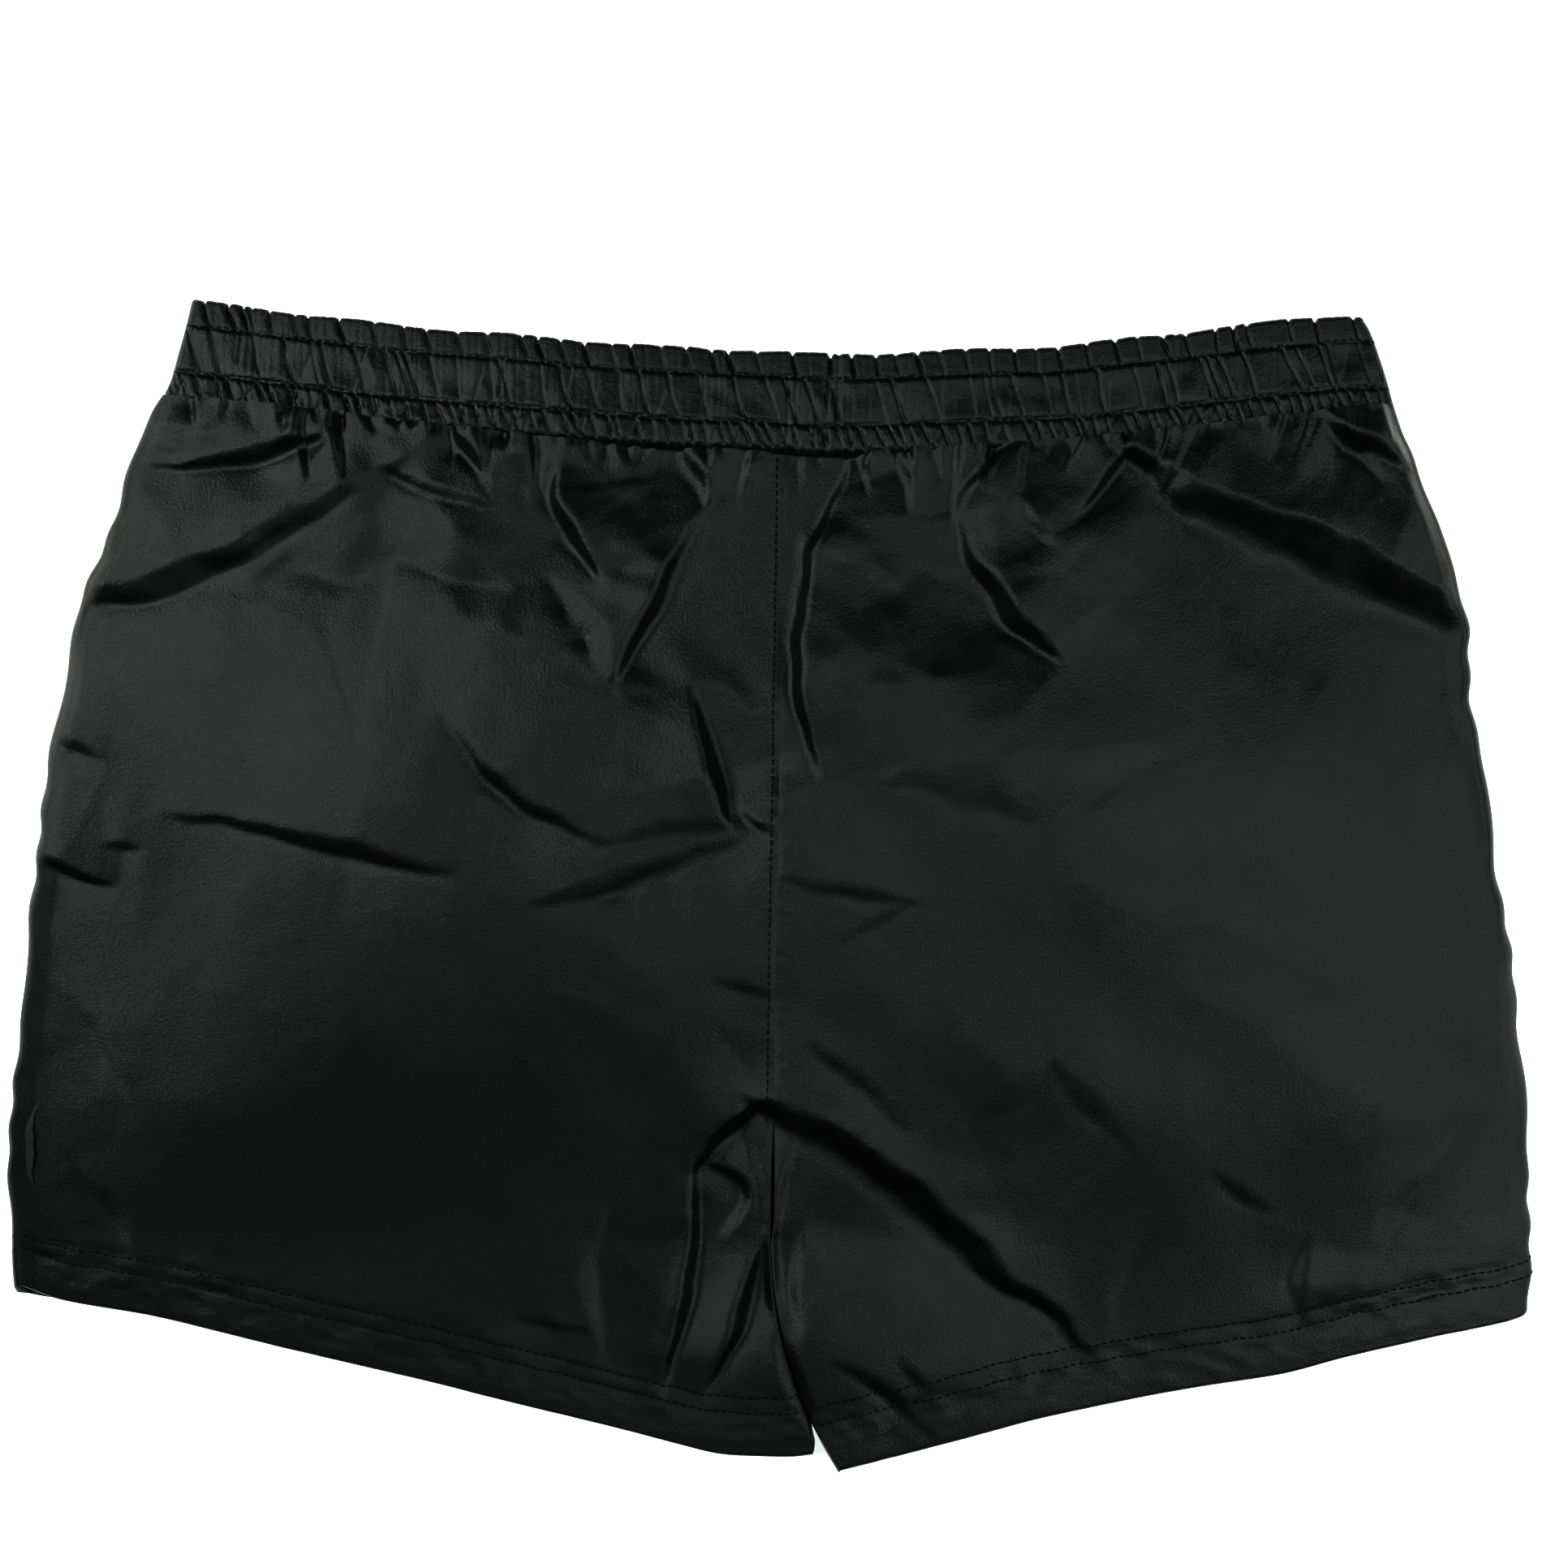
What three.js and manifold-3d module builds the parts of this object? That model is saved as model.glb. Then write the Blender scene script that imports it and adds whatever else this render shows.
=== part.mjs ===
import * as THREE from 'three';
import { mergeVertices } from 'three/addons/utils/BufferGeometryUtils.js';
import Module from 'manifold-3d';

// Elasticated nylon sport shorts, lying flat on their front with the back up.
// Millimetres. +Z is up, +Y runs towards the waist and +X to the wearer's right.
// The origin is on the ground under the middle of the outline.
//
// The shorts are two layers of cloth: the back layer on top and the front layer underneath.
// Across the body they form one flattened tube, and below the crotch one tube per leg.
// At a seam both layers roll over by a quarter turn and meet at half the lying height.

// ---- Outline, lying flat ----
const waistWidth = 448; // relaxed waistband, across its top edge
const bandBottomWidth = 462; // waistband, across its bottom edge
const seatWidth = 474; // body, just under the waistband
const hemWidth = 583; // both legs, across the outer hem corners
const sideLength = 377; // waist corner to hem corner
const overallLength = 442; // waist corner to the tip of a leg's hem, along Y
const backRise = 330; // middle of the waist edge to the crotch
const waistDip = 17.5; // the middle of the waist edge lies this far below its corners
const sideCurve = 2.2; // how soon the side edges swing out to the full width
const hemCurve = 1.15; // how evenly the hems slope down to their inner tips
const legLean = 26; // the legs lie swung towards +X by this much at the hems
const legSpread = 5; // half the gap between the legs at the hems

// ---- Lying height ----
const bandHeight = 15; // over the waistband
const seatFullness = 22; // how far the cloth between waist and hems is puffed up
const hemHeight = 12; // over the leg hems

// ---- Cloth and trimmings ----
const clothThickness = 1; // a thick stand-in for a thin woven cloth
const foldedHemThickness = 2.2; // turned and stitched hem
const hemDepth = 22;
const bandDepth = 38;
const elasticThickness = 1.2;
const seamGap = 0.3; // clearance kept between neighbouring pieces
const seamAllowance = 8;
const allowanceShare = 0.05; // share of a leg's width that the inseam allowance takes up
const crotchRamp = 50; // length over which the centre seams sink into the crotch
const labelWidth = 30;
const labelLength = 45;
const labelThickness = 0.6;

// ---- Stitching ----
const threadWidth = 0.8;
const threadHeight = 0.4;
const waistRowDepths = [10, 27.5, bandDepth - 0.8]; // rows of stitching, below the waist edge
const hemRowGauge = 6.4; // distance between the twin rows of a hem
const hemRowInset = 1.2; // upper row below the hem's upper edge
const topstitchInset = 2.5; // beside the centre back seam

// ---- Side pockets ----
const pocketMouthLength = 125;
const pocketMouthDrop = 61; // waist corner down to the top of the mouth, along Y
const pocketMouthGap = 8; // the layers stand this far apart at the mouth
const pocketRamp = 20; // length over which the seam opens to that gap
const pocketReach = 152; // from the side edge to the inner end of the bag
const pocketBagDrop = 24; // how far the bag hangs below its mouth
const pocketRoom = 5.2; // clear height inside the bag
const pocketWall = 0.8;
const pocketCorner = 22; // corner radius of the bag
const pocketSetback = 3; // the bag's rim lies this far inside the side edge

// ---- Drawcord eyelets in the front of the waistband ----
const eyeletSpacing = 50;
const eyeletRadius = 4.5;
const eyeletBoreRadius = 1.8;

// ---- How finely the cloth is divided ----
const edgeZone = 16; // width beside each seam that holds the rolled edge
const zoneColumns = 5; // columns in each edge zone, and between the two
const rowsAboveCrotch = 16;
const rowsBelowCrotch = 4;
const bandRows = 4;
const seamRows = 10;

// ---- Derived places ----
const waistCornerY = overallLength / 2;
const legTipY = -overallLength / 2;
const hemCornerY = waistCornerY - sideLength;
const crotchY = waistCornerY - waistDip - backRise;
const bandCornerY = waistCornerY - bandDepth;
const hemTopCornerY = hemCornerY + hemDepth;
const mouthTopY = waistCornerY - pocketMouthDrop;
const mouthBottomY = mouthTopY - pocketMouthLength;
const bandStack = 2 * clothThickness + 2 * seamGap + elasticThickness;
const acrossColumns = 3 * zoneColumns;
const panelRows = rowsAboveCrotch + rowsBelowCrotch;

const LEFT = -1; // the wearer's left, at -X with the back of the shorts up
const RIGHT = 1;
const { lerp, clamp, smoothstep } = THREE.MathUtils;

// ---- Materials ----
const nylon = new THREE.MeshStandardMaterial({ color: 0x2b2d2c, roughness: 0.55, metalness: 0 });
const nylonInside = new THREE.MeshStandardMaterial({ color: 0x252726, roughness: 0.7, metalness: 0 });
const elastic = new THREE.MeshStandardMaterial({ color: 0x1b1b1c, roughness: 0.85, metalness: 0 });
const thread = new THREE.MeshStandardMaterial({ color: 0x1a1b1b, roughness: 0.6, metalness: 0 });
const satin = new THREE.MeshStandardMaterial({ color: 0xd9d9d4, roughness: 0.45, metalness: 0 });
const eyeletMetal = new THREE.MeshStandardMaterial({ color: 0x3a3a3c, roughness: 0.35, metalness: 1 });

// ---- Outline curves ----

// Y of the waist edge; across is 0 in the middle and 1 at a corner.
const waistEdge = (across) => waistCornerY - waistDip * (1 - across ** 2);

// Y of a leg's hem; across is 0 at the inseam and 1 at the side.
const hemEdge = (across) => hemCornerY - (hemCornerY - legTipY) * (1 - across) ** hemCurve;

const panelTop = (across) => waistEdge(across) - bandDepth - seamGap;
const hemTop = (across) => hemEdge(across) + hemDepth;
const panelBottom = (across) => hemTop(across) + seamGap;

// Half the width of the body at a height y along its side edge.
function sideHalfWidth(y) {
  const down = clamp((bandCornerY - y) / (bandCornerY - hemCornerY), 0, 1);
  return hemWidth / 2 - (hemWidth - seatWidth) / 2 * (1 - down) ** sideCurve;
}

function bandHalfWidth(below) {
  return lerp(waistWidth, bandBottomWidth, below / bandDepth) / 2;
}

// X of a leg's centre or inseam edge at a height y.
function innerX(leg, y) {
  const down = Math.max(0, (crotchY - y) / (crotchY - legTipY));
  return legLean * down + leg * (seamGap / 2 + legSpread * down);
}

// Height of the lying shorts at a height y along the side edge.
function lyingHeight(y) {
  const down = clamp((bandCornerY - y) / (bandCornerY - hemTopCornerY), 0, 1);
  return (1 - down) ** 2 * bandHeight + 2 * down * (1 - down) * seatFullness + down ** 2 * hemHeight;
}

// How far the cloth rolls over at an edge that stops half a gap away from the mid-height.
const rollTo = (gap, radius) => Math.acos(gap / 2 / radius);

function sideRoll(y, radius) {
  const open = smoothstep(y, mouthBottomY - pocketRamp, mouthBottomY)
    * (1 - smoothstep(y, mouthTopY, mouthTopY + pocketRamp));
  return rollTo(lerp(seamGap, pocketMouthGap, open), radius);
}

function innerRoll(y, radius) {
  const sunk = 1 - smoothstep(y, crotchY, crotchY + crotchRamp);
  return rollTo(seamGap, radius) * sunk;
}

// ---- The lying tube's section ----

// A point on the back layer, a run in from an end of the section and a depth under its outer face.
// An end has its x and its roll, and inward is the direction along X that leads into the section.
function pointFromEnd(end, inward, height, run, depth) {
  const radius = height / 2;
  const rollLength = radius * end.roll;
  const flatStart = end.x + inward * radius * Math.sin(end.roll);
  if (run >= rollLength) {
    return { x: flatStart + inward * (run - rollLength), z: height - depth };
  }
  const angle = end.roll - run / radius;
  return {
    x: flatStart - inward * (radius - depth) * Math.sin(angle),
    z: radius + (radius - depth) * Math.cos(angle),
  };
}

// A point across the whole section: share runs from 0 at end a to 1 at end b.
function pointAcross(section, share, depth) {
  const { a, b, height } = section;
  const inward = Math.sign(b.x - a.x);
  if (share <= 1 / 3) return pointFromEnd(a, inward, height, edgeZone * 3 * share, depth);
  if (share >= 2 / 3) return pointFromEnd(b, -inward, height, edgeZone * 3 * (1 - share), depth);
  const start = pointFromEnd(a, inward, height, edgeZone, depth);
  const stop = pointFromEnd(b, -inward, height, edgeZone, depth);
  return { x: lerp(start.x, stop.x, 3 * share - 1), z: start.z };
}

// The section of one leg's side of the shorts, from its side edge (a) to its inner edge (b).
function legSection(leg, sideY, innerY) {
  const height = lyingHeight(sideY);
  return {
    height,
    a: { x: leg * sideHalfWidth(sideY), roll: sideRoll(sideY, height / 2) },
    b: { x: innerX(leg, innerY), roll: innerRoll(innerY, height / 2) },
  };
}

function bandSection(below) {
  const half = bandHalfWidth(below);
  const roll = rollTo(seamGap, bandHeight / 2);
  return { height: bandHeight, a: { x: -half, roll }, b: { x: half, roll } };
}

// ---- Solids ----

function signedVolume(geometry) {
  const position = geometry.getAttribute('position');
  const corner = [new THREE.Vector3(), new THREE.Vector3(), new THREE.Vector3()];
  let volume = 0;
  for (let i = 0; i < geometry.index.count; i += 3) {
    corner.forEach((point, k) => point.fromBufferAttribute(position, geometry.index.getX(i + k)));
    volume += corner[0].dot(corner[1].clone().cross(corner[2])) / 6;
  }
  return volume;
}

function closed(geometry) {
  geometry.deleteAttribute('normal');
  geometry.deleteAttribute('uv');
  return mergeVertices(geometry);
}

// A box whose unit coordinates, each from 0 to 1, are carried to their place by a function.
function bentBox(columns, rows, place) {
  const geometry = closed(new THREE.BoxGeometry(1, 1, 1, columns, rows, 1));
  const position = geometry.getAttribute('position');
  for (let i = 0; i < position.count; i += 1) {
    const across = position.getX(i) + 0.5;
    const down = 0.5 - position.getY(i);
    const inward = 0.5 - position.getZ(i);
    position.setXYZ(i, ...place(across, down, inward));
  }
  if (signedVolume(geometry) < 0) {
    for (let i = 0; i < geometry.index.count; i += 3) {
      const first = geometry.index.getX(i);
      geometry.index.setX(i, geometry.index.getX(i + 1));
      geometry.index.setX(i + 1, first);
    }
  }
  return geometry;
}

// The front layer is the back layer turned over inside the same height.
const onLayer = (layer, height, z) => (layer === 'back' ? z : height - z);

const evenly = (step) => step;

// How far down the panel a row lies, so that one row meets the crotch exactly.
const crotchShare = (panelTop(0) - crotchY) / (panelTop(0) - panelBottom(0));

function panelRowAt(step) {
  const row = step * panelRows;
  if (row <= rowsAboveCrotch) return crotchShare * row / rowsAboveCrotch;
  return lerp(crotchShare, 1, (row - rowsAboveCrotch) / rowsBelowCrotch);
}

// A piece of one leg's side between two curves; depths are under the layer's outer face.
function legPiece(leg, layer, topCurve, bottomCurve, depths, cells, pointAt = pointAcross, rowAt = evenly) {
  return bentBox(...cells, (across, step, inward) => {
    const down = rowAt(step);
    const sideY = lerp(topCurve(1), bottomCurve(1), down);
    const innerY = lerp(topCurve(0), bottomCurve(0), down);
    const section = legSection(leg, sideY, innerY);
    const { x, z } = pointAt(section, across, lerp(depths[0], depths[1], inward));
    const share = clamp((x - section.b.x) / (section.a.x - section.b.x), 0, 1);
    const y = lerp(topCurve(share), bottomCurve(share), down);
    return [x, y, onLayer(layer, section.height, z)];
  });
}

// A strip that follows the centre seam on the left side, between two runs in from the seam.
// Its rows are the panel's own rows, as far down as the last one before the seam sinks to the crotch.
function centreStrip(layer, runs, depths) {
  const rowPitch = (panelTop(0) - crotchY) / rowsAboveCrotch;
  const rows = rowsAboveCrotch - Math.ceil(crotchRamp / rowPitch);
  const lastShare = crotchShare * rows / rowsAboveCrotch;
  const lastRow = (across) => lerp(panelTop(across), panelBottom(across), lastShare);
  const besideSeam = (section, across, depth) => pointFromEnd(section.b, LEFT, section.height,
    lerp(runs[0], runs[1], across), depth);
  return legPiece(LEFT, layer, panelTop, lastRow, depths, [1, rows], besideSeam);
}

// The lying height beside the inseam, where each row of cloth has the height of its side end.
function inseamHeight(y) {
  const down = (panelTop(0) - y) / (panelTop(0) - panelBottom(0));
  return lyingHeight(lerp(panelTop(1), panelBottom(1), down));
}

// A flat strip at half the lying height, just inside a seam that runs from one y to another.
function seamStrip(edgeX, inward, heightAt, fromY, toY) {
  return bentBox(1, seamRows, (across, down, through) => {
    const y = lerp(fromY, toY, down);
    const run = clothThickness + 2 * seamGap + seamAllowance * across;
    const z = heightAt(y) / 2 + clothThickness * (0.5 - through);
    return [edgeX(y) + inward * run, y, z];
  });
}

// A piece of the waistband's back or front half: path gives how far below the waist edge
// and how deep under the outer face a point lies.
function bandPiece(layer, rows, path) {
  return bentBox(acrossColumns, rows, (across, down, inward) => {
    const { below, depth } = path(down, inward);
    const section = bandSection(below);
    const { x, z } = pointAcross(section, across, depth);
    const y = waistEdge(Math.min(1, Math.abs(x) / section.b.x)) - below;
    return [x, y, onLayer(layer, section.height, z)];
  });
}

// The casing is one cloth folded over the elastic: outer leaf up, round the fold, inner leaf down.
function casingPath(down, inward) {
  const foldRadius = bandStack / 2;
  const depth = clothThickness * inward;
  if (down <= 1 / 3) return { below: lerp(bandDepth, foldRadius, 3 * down), depth };
  if (down >= 2 / 3) {
    return { below: lerp(foldRadius, bandDepth, 3 * down - 2), depth: bandStack - depth };
  }
  const turn = (3 * down - 1) * Math.PI;
  return {
    below: foldRadius - (foldRadius - depth) * Math.sin(turn),
    depth: foldRadius - (foldRadius - depth) * Math.cos(turn),
  };
}

const elasticPath = (down, inward) => ({
  below: lerp(bandStack / 2, bandDepth, down),
  depth: clothThickness + seamGap + elasticThickness * inward,
});

const threadDepths = [-seamGap - threadHeight, -seamGap];

const bandRowPath = (rowDepth) => (down, inward) => ({
  below: rowDepth + threadWidth * (down - 0.5),
  depth: lerp(threadDepths[0], threadDepths[1], inward),
});

// ---- Boolean cuts ----
const wasm = await Module();
wasm.setup();

function toManifold(geometry) {
  const mesh = closed(geometry.clone());
  return new wasm.Manifold(new wasm.Mesh({
    numProp: 3,
    vertProperties: new Float32Array(mesh.getAttribute('position').array),
    triVerts: new Uint32Array(mesh.index.array),
  }));
}

function cut(geometry, tools) {
  let solid = toManifold(geometry);
  for (const tool of tools) solid = solid.subtract(toManifold(tool));
  const { vertProperties, triVerts } = solid.getMesh();
  const result = new THREE.BufferGeometry();
  result.setAttribute('position', new THREE.BufferAttribute(vertProperties, 3));
  result.setIndex(new THREE.BufferAttribute(triVerts, 1));
  return result;
}

// ---- Side pockets ----

// The bag's outline seen from above: its rim follows the side edge, its inner corners are round.
function pocketShape(leg, wall, rimX) {
  const top = mouthTopY - wall;
  const bottom = mouthBottomY - pocketBagDrop + wall;
  const innerEnd = leg * (sideHalfWidth(mouthBottomY) - pocketReach + wall);
  const radius = pocketCorner - wall;
  const rimSteps = 8;
  const shape = new THREE.Shape();
  shape.moveTo(rimX(top), top);
  for (let i = 1; i <= rimSteps; i += 1) {
    const y = lerp(top, bottom + radius, i / rimSteps);
    shape.lineTo(rimX(y), y);
  }
  shape.quadraticCurveTo(rimX(bottom), bottom, rimX(bottom) - leg * radius, bottom);
  shape.lineTo(innerEnd + leg * radius, bottom);
  shape.quadraticCurveTo(innerEnd, bottom, innerEnd, bottom + radius);
  shape.lineTo(innerEnd, top - radius);
  shape.quadraticCurveTo(innerEnd, top, innerEnd + leg * radius, top);
  return shape;
}

function slab(shape, lowZ, height) {
  const geometry = new THREE.ExtrudeGeometry(shape, { depth: height, bevelEnabled: false, curveSegments: 4 });
  return geometry.translate(0, 0, lowZ);
}

function pocketBag(leg) {
  const middleY = (mouthTopY + mouthBottomY) / 2;
  const middleZ = lyingHeight(middleY) / 2;
  const rim = (y) => leg * (sideHalfWidth(y) - pocketSetback);
  const pastRim = (y) => leg * (sideHalfWidth(y) + pocketSetback);
  const innerOutline = (y) => (y >= mouthBottomY ? pastRim(y) : rim(y) - leg * pocketWall);
  const outer = slab(pocketShape(leg, 0, rim), middleZ - pocketRoom / 2 - pocketWall,
    pocketRoom + 2 * pocketWall);
  const room = slab(pocketShape(leg, pocketWall, innerOutline), middleZ - pocketRoom / 2, pocketRoom);
  return cut(outer, [room]);
}

// ---- Drawcord eyelets ----
const eyeletY = waistEdge(0) - (waistRowDepths[0] + waistRowDepths[1]) / 2;

function eyelet(x) {
  const profile = [
    new THREE.Vector2(eyeletBoreRadius, 0),
    new THREE.Vector2(eyeletRadius, 0),
    new THREE.Vector2(eyeletRadius, clothThickness),
    new THREE.Vector2(eyeletBoreRadius, clothThickness),
    new THREE.Vector2(eyeletBoreRadius, 0),
  ];
  return closed(new THREE.LatheGeometry(profile, 20)).rotateX(Math.PI / 2).translate(x, eyeletY, 0);
}

function eyeletHole(x) {
  const depth = 4 * clothThickness;
  return new THREE.CylinderGeometry(eyeletRadius + seamGap, eyeletRadius + seamGap, depth, 24)
    .rotateX(Math.PI / 2)
    .translate(x, eyeletY, 0);
}

// ---- Assembly ----
const shorts = new THREE.Group();

function add(name, geometry, material) {
  const mesh = new THREE.Mesh(geometry, material.clone());
  mesh.name = name;
  shorts.add(mesh);
}

for (const [side, leg] of [['left', LEFT], ['right', RIGHT]]) {
  for (const layer of ['back', 'front']) {
    add(`${layer}_panel_${side}`,
      legPiece(leg, layer, panelTop, panelBottom, [0, clothThickness], [acrossColumns, panelRows],
        pointAcross, panelRowAt), nylon);
    add(`leg_hem_${layer}_${side}`,
      legPiece(leg, layer, hemTop, hemEdge, [0, foldedHemThickness], [acrossColumns, 2]), nylon);
  }
  ['upper', 'lower'].forEach((row, i) => {
    const drop = hemDepth - hemRowInset - i * hemRowGauge;
    const rowTop = (across) => hemEdge(across) + drop;
    const rowBottom = (across) => hemEdge(across) + drop - threadWidth;
    add(`hem_stitch_${row}_${side}`,
      legPiece(leg, 'back', rowTop, rowBottom, threadDepths, [acrossColumns, 1]), thread);
  });
  add(`side_seam_allowance_${side}`,
    seamStrip((y) => leg * sideHalfWidth(y), -leg, lyingHeight,
      mouthBottomY - pocketBagDrop - 2 * seamGap, hemTopCornerY + seamGap), nylonInside);
  add(`inseam_allowance_${side}`,
    seamStrip((y) => innerX(leg, y), leg, inseamHeight, crotchY - seamAllowance,
      panelBottom(allowanceShare)),
    nylonInside);
  add(`pocket_bag_${side}`, pocketBag(leg), nylonInside);
  add(`drawcord_eyelet_${side}`, eyelet(leg * eyeletSpacing / 2), eyeletMetal);
}

add('waistband_casing_back', bandPiece('back', 3 * bandRows, casingPath), nylon);
add('waistband_casing_front',
  cut(bandPiece('front', 3 * bandRows, casingPath),
    [eyeletHole(-eyeletSpacing / 2), eyeletHole(eyeletSpacing / 2)]), nylon);
add('waist_elastic_back', bandPiece('back', bandRows, elasticPath), elastic);
add('waist_elastic_front', bandPiece('front', bandRows, elasticPath), elastic);
waistRowDepths.forEach((rowDepth, i) => {
  add(`waist_stitch_row_${i + 1}`, bandPiece('back', 1, bandRowPath(rowDepth)), thread);
});

const allowanceDepths = [clothThickness + seamGap, 2 * clothThickness + seamGap];
add('centre_back_seam_allowance', centreStrip('back', [0.5, seamAllowance], allowanceDepths), nylonInside);
add('centre_front_seam_allowance', centreStrip('front', [0.5, seamAllowance], allowanceDepths), nylonInside);
add('centre_back_topstitch',
  centreStrip('back', [topstitchInset, topstitchInset + threadWidth], threadDepths), thread);

const label = new THREE.BoxGeometry(labelWidth, labelLength, labelThickness);
label.translate(0, panelTop(0) - labelLength / 2, bandHeight - bandStack - labelThickness / 2);
add('care_label', label, satin);

export default shorts;
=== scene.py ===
# %% [markdown]
# # Nylon sport shorts, lying flat
# The shorts lie on their front with the back up, waist towards +Y. Everything starts from the packed
# frame: it fixes the outline and how high each part of the cloth lies, and this script adds what
# the frame leaves plain, which is the cloth itself.

# %% The frame and its box
import math
import bmesh
import bpy
import numpy as np
from mathutils import Matrix, Vector


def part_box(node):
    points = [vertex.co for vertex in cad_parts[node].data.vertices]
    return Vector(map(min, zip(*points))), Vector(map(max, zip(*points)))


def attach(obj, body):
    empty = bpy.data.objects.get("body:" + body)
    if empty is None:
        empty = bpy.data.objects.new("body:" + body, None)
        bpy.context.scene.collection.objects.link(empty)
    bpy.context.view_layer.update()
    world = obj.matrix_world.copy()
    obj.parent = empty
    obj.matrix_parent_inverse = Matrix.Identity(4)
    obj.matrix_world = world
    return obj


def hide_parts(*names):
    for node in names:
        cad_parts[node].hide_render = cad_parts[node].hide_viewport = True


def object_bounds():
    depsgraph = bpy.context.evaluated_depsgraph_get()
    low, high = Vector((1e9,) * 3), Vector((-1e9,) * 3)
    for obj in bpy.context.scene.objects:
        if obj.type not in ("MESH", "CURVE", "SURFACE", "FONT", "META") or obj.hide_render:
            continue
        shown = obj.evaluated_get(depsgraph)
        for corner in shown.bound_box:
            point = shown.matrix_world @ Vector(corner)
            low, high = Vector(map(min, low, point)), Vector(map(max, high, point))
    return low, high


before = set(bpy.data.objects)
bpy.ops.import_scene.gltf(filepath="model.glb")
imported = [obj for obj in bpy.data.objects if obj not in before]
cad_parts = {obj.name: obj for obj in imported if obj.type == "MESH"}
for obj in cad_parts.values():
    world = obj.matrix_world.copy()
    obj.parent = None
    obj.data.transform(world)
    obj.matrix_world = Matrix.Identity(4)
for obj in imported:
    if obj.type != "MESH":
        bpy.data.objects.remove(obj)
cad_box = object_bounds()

print("the frame's box, metres:", [[round(v, 4) for v in corner] for corner in cad_box])

# %% [markdown]
# ## Sizes
# The cloth is worked out in millimetres, because a tailor's sizes are easy to read that way, and it
# becomes metres only when a mesh is made. Lengths that the frame already holds are read from its
# nodes. The rest are the sizes of stitches and turned edges, which the frame doesn't show.

# %% Sizes in millimetres
MM = 0.001


def node_box(name):
    """A node's lowest and highest corner in millimetres."""
    low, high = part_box(name)
    return np.array(low) / MM, np.array(high) / MM


casing_low, casing_high = node_box("waistband_casing_back")
hem_low, hem_high = node_box("leg_hem_back_left")

WAIST_CORNER_Y = casing_high[1]
HEM_HALF = -hem_low[0]
BAND_DEPTH = 38.0
WAIST_DIP = WAIST_CORNER_Y - (casing_low[1] + BAND_DEPTH)
BAND_HEIGHT = casing_high[2]
HEM_HEIGHT = hem_high[2]
SEAT_FULLNESS = 22.0
SEAT_HALF = 237.0
CROTCH_Y = -126.5
BAND_CORNER_Y = WAIST_CORNER_Y - BAND_DEPTH
HEM_TOP_CORNER_Y = hem_high[1]
print("waist corner", round(WAIST_CORNER_Y, 1), "hem half width", round(HEM_HALF, 1),
      "waist dip", round(WAIST_DIP, 1), "heights", round(BAND_HEIGHT, 1), round(HEM_HEIGHT, 1))

# %% [markdown]
# ## Camera, floor and light
# A garment laid flat is looked at from straight above. The floor is a plain pale sheet that is much
# brighter than the black cloth. Black nylon shows its folds by what it reflects, so the light comes
# from large soft panels to the sides, and the flat cloth in the middle mirrors the darker zenith.

# %% Camera
FRAME_WIDTH = 599.0 * MM
LENS = 38.0
SENSOR = 36.0
ROLL = math.radians(0.9)
LOOK_AT = Vector((5.4, 39.6, 10.0)) * MM
camera_data = bpy.data.cameras.new("camera")
camera_data.lens = LENS
camera_data.sensor_width = SENSOR
camera = bpy.data.objects.new("camera", camera_data)
bpy.context.scene.collection.objects.link(camera)
camera.location = LOOK_AT + Vector((0, 0, FRAME_WIDTH * LENS / SENSOR))
camera.rotation_euler = (0, 0, ROLL)
bpy.context.scene.camera = camera
print("camera", [round(v, 3) for v in camera.location])


# %% Floor and lights
def link(obj):
    bpy.context.scene.collection.objects.link(obj)
    return obj


FLOOR_GAP = 0.3 * MM
FLOOR_SIZE = 4.0
floor_bm = bmesh.new()
bmesh.ops.create_grid(floor_bm, x_segments=1, y_segments=1, size=FLOOR_SIZE)
bmesh.ops.translate(floor_bm, verts=floor_bm.verts, vec=(0, 0, cad_box[0][2] - FLOOR_GAP))
floor_mesh = bpy.data.meshes.new("floor")
floor_bm.to_mesh(floor_mesh)
floor_bm.free()
floor = link(bpy.data.objects.new("floor", floor_mesh))

# The cloth is almost black, so the lights stay low and the view's gamma opens up its dark tones.
PANEL_TINT = (0.95, 1.0, 0.965)
CEILING_TINT = (0.82, 1.0, 0.92)
ROOM_STRENGTH = 0.08
VIEW_GAMMA = 0.56


def soft_light(name, place, size, watts, colour=PANEL_TINT):
    """A rectangular light at a place in metres, turned towards the shorts."""
    data = bpy.data.lights.new(name, "AREA")
    data.shape = "RECTANGLE"
    data.size, data.size_y = size
    data.energy = watts
    data.color = colour
    lamp = link(bpy.data.objects.new(name, data))
    lamp.location = place
    lamp.rotation_euler = (LOOK_AT - Vector(place)).to_track_quat("-Z", "Y").to_euler()


soft_light("window", (-1.40, 0.46, 1.30), (0.7, 0.7), 55)
soft_light("wall", (1.42, -0.06, 1.25), (0.7, 0.7), 32)
soft_light("ceiling", (0.34, -0.64, 1.50), (0.4, 0.4), 9.6, CEILING_TINT)
world = bpy.data.worlds.new("room")
bpy.context.scene.world = world
world.use_nodes = True
background = world.node_tree.nodes["Background"]
background.inputs["Color"].default_value = (1.0, 0.99, 0.97, 1)
background.inputs["Strength"].default_value = ROOM_STRENGTH
bpy.context.scene.view_settings.view_transform = "Standard"
bpy.context.scene.view_settings.gamma = VIEW_GAMMA


# %% [markdown]
# ## Shader maths as Python expressions
# A node tree is easier to read as an expression. This small class wraps a socket, and its
# operators add Math nodes; every other node comes from one method.

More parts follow.
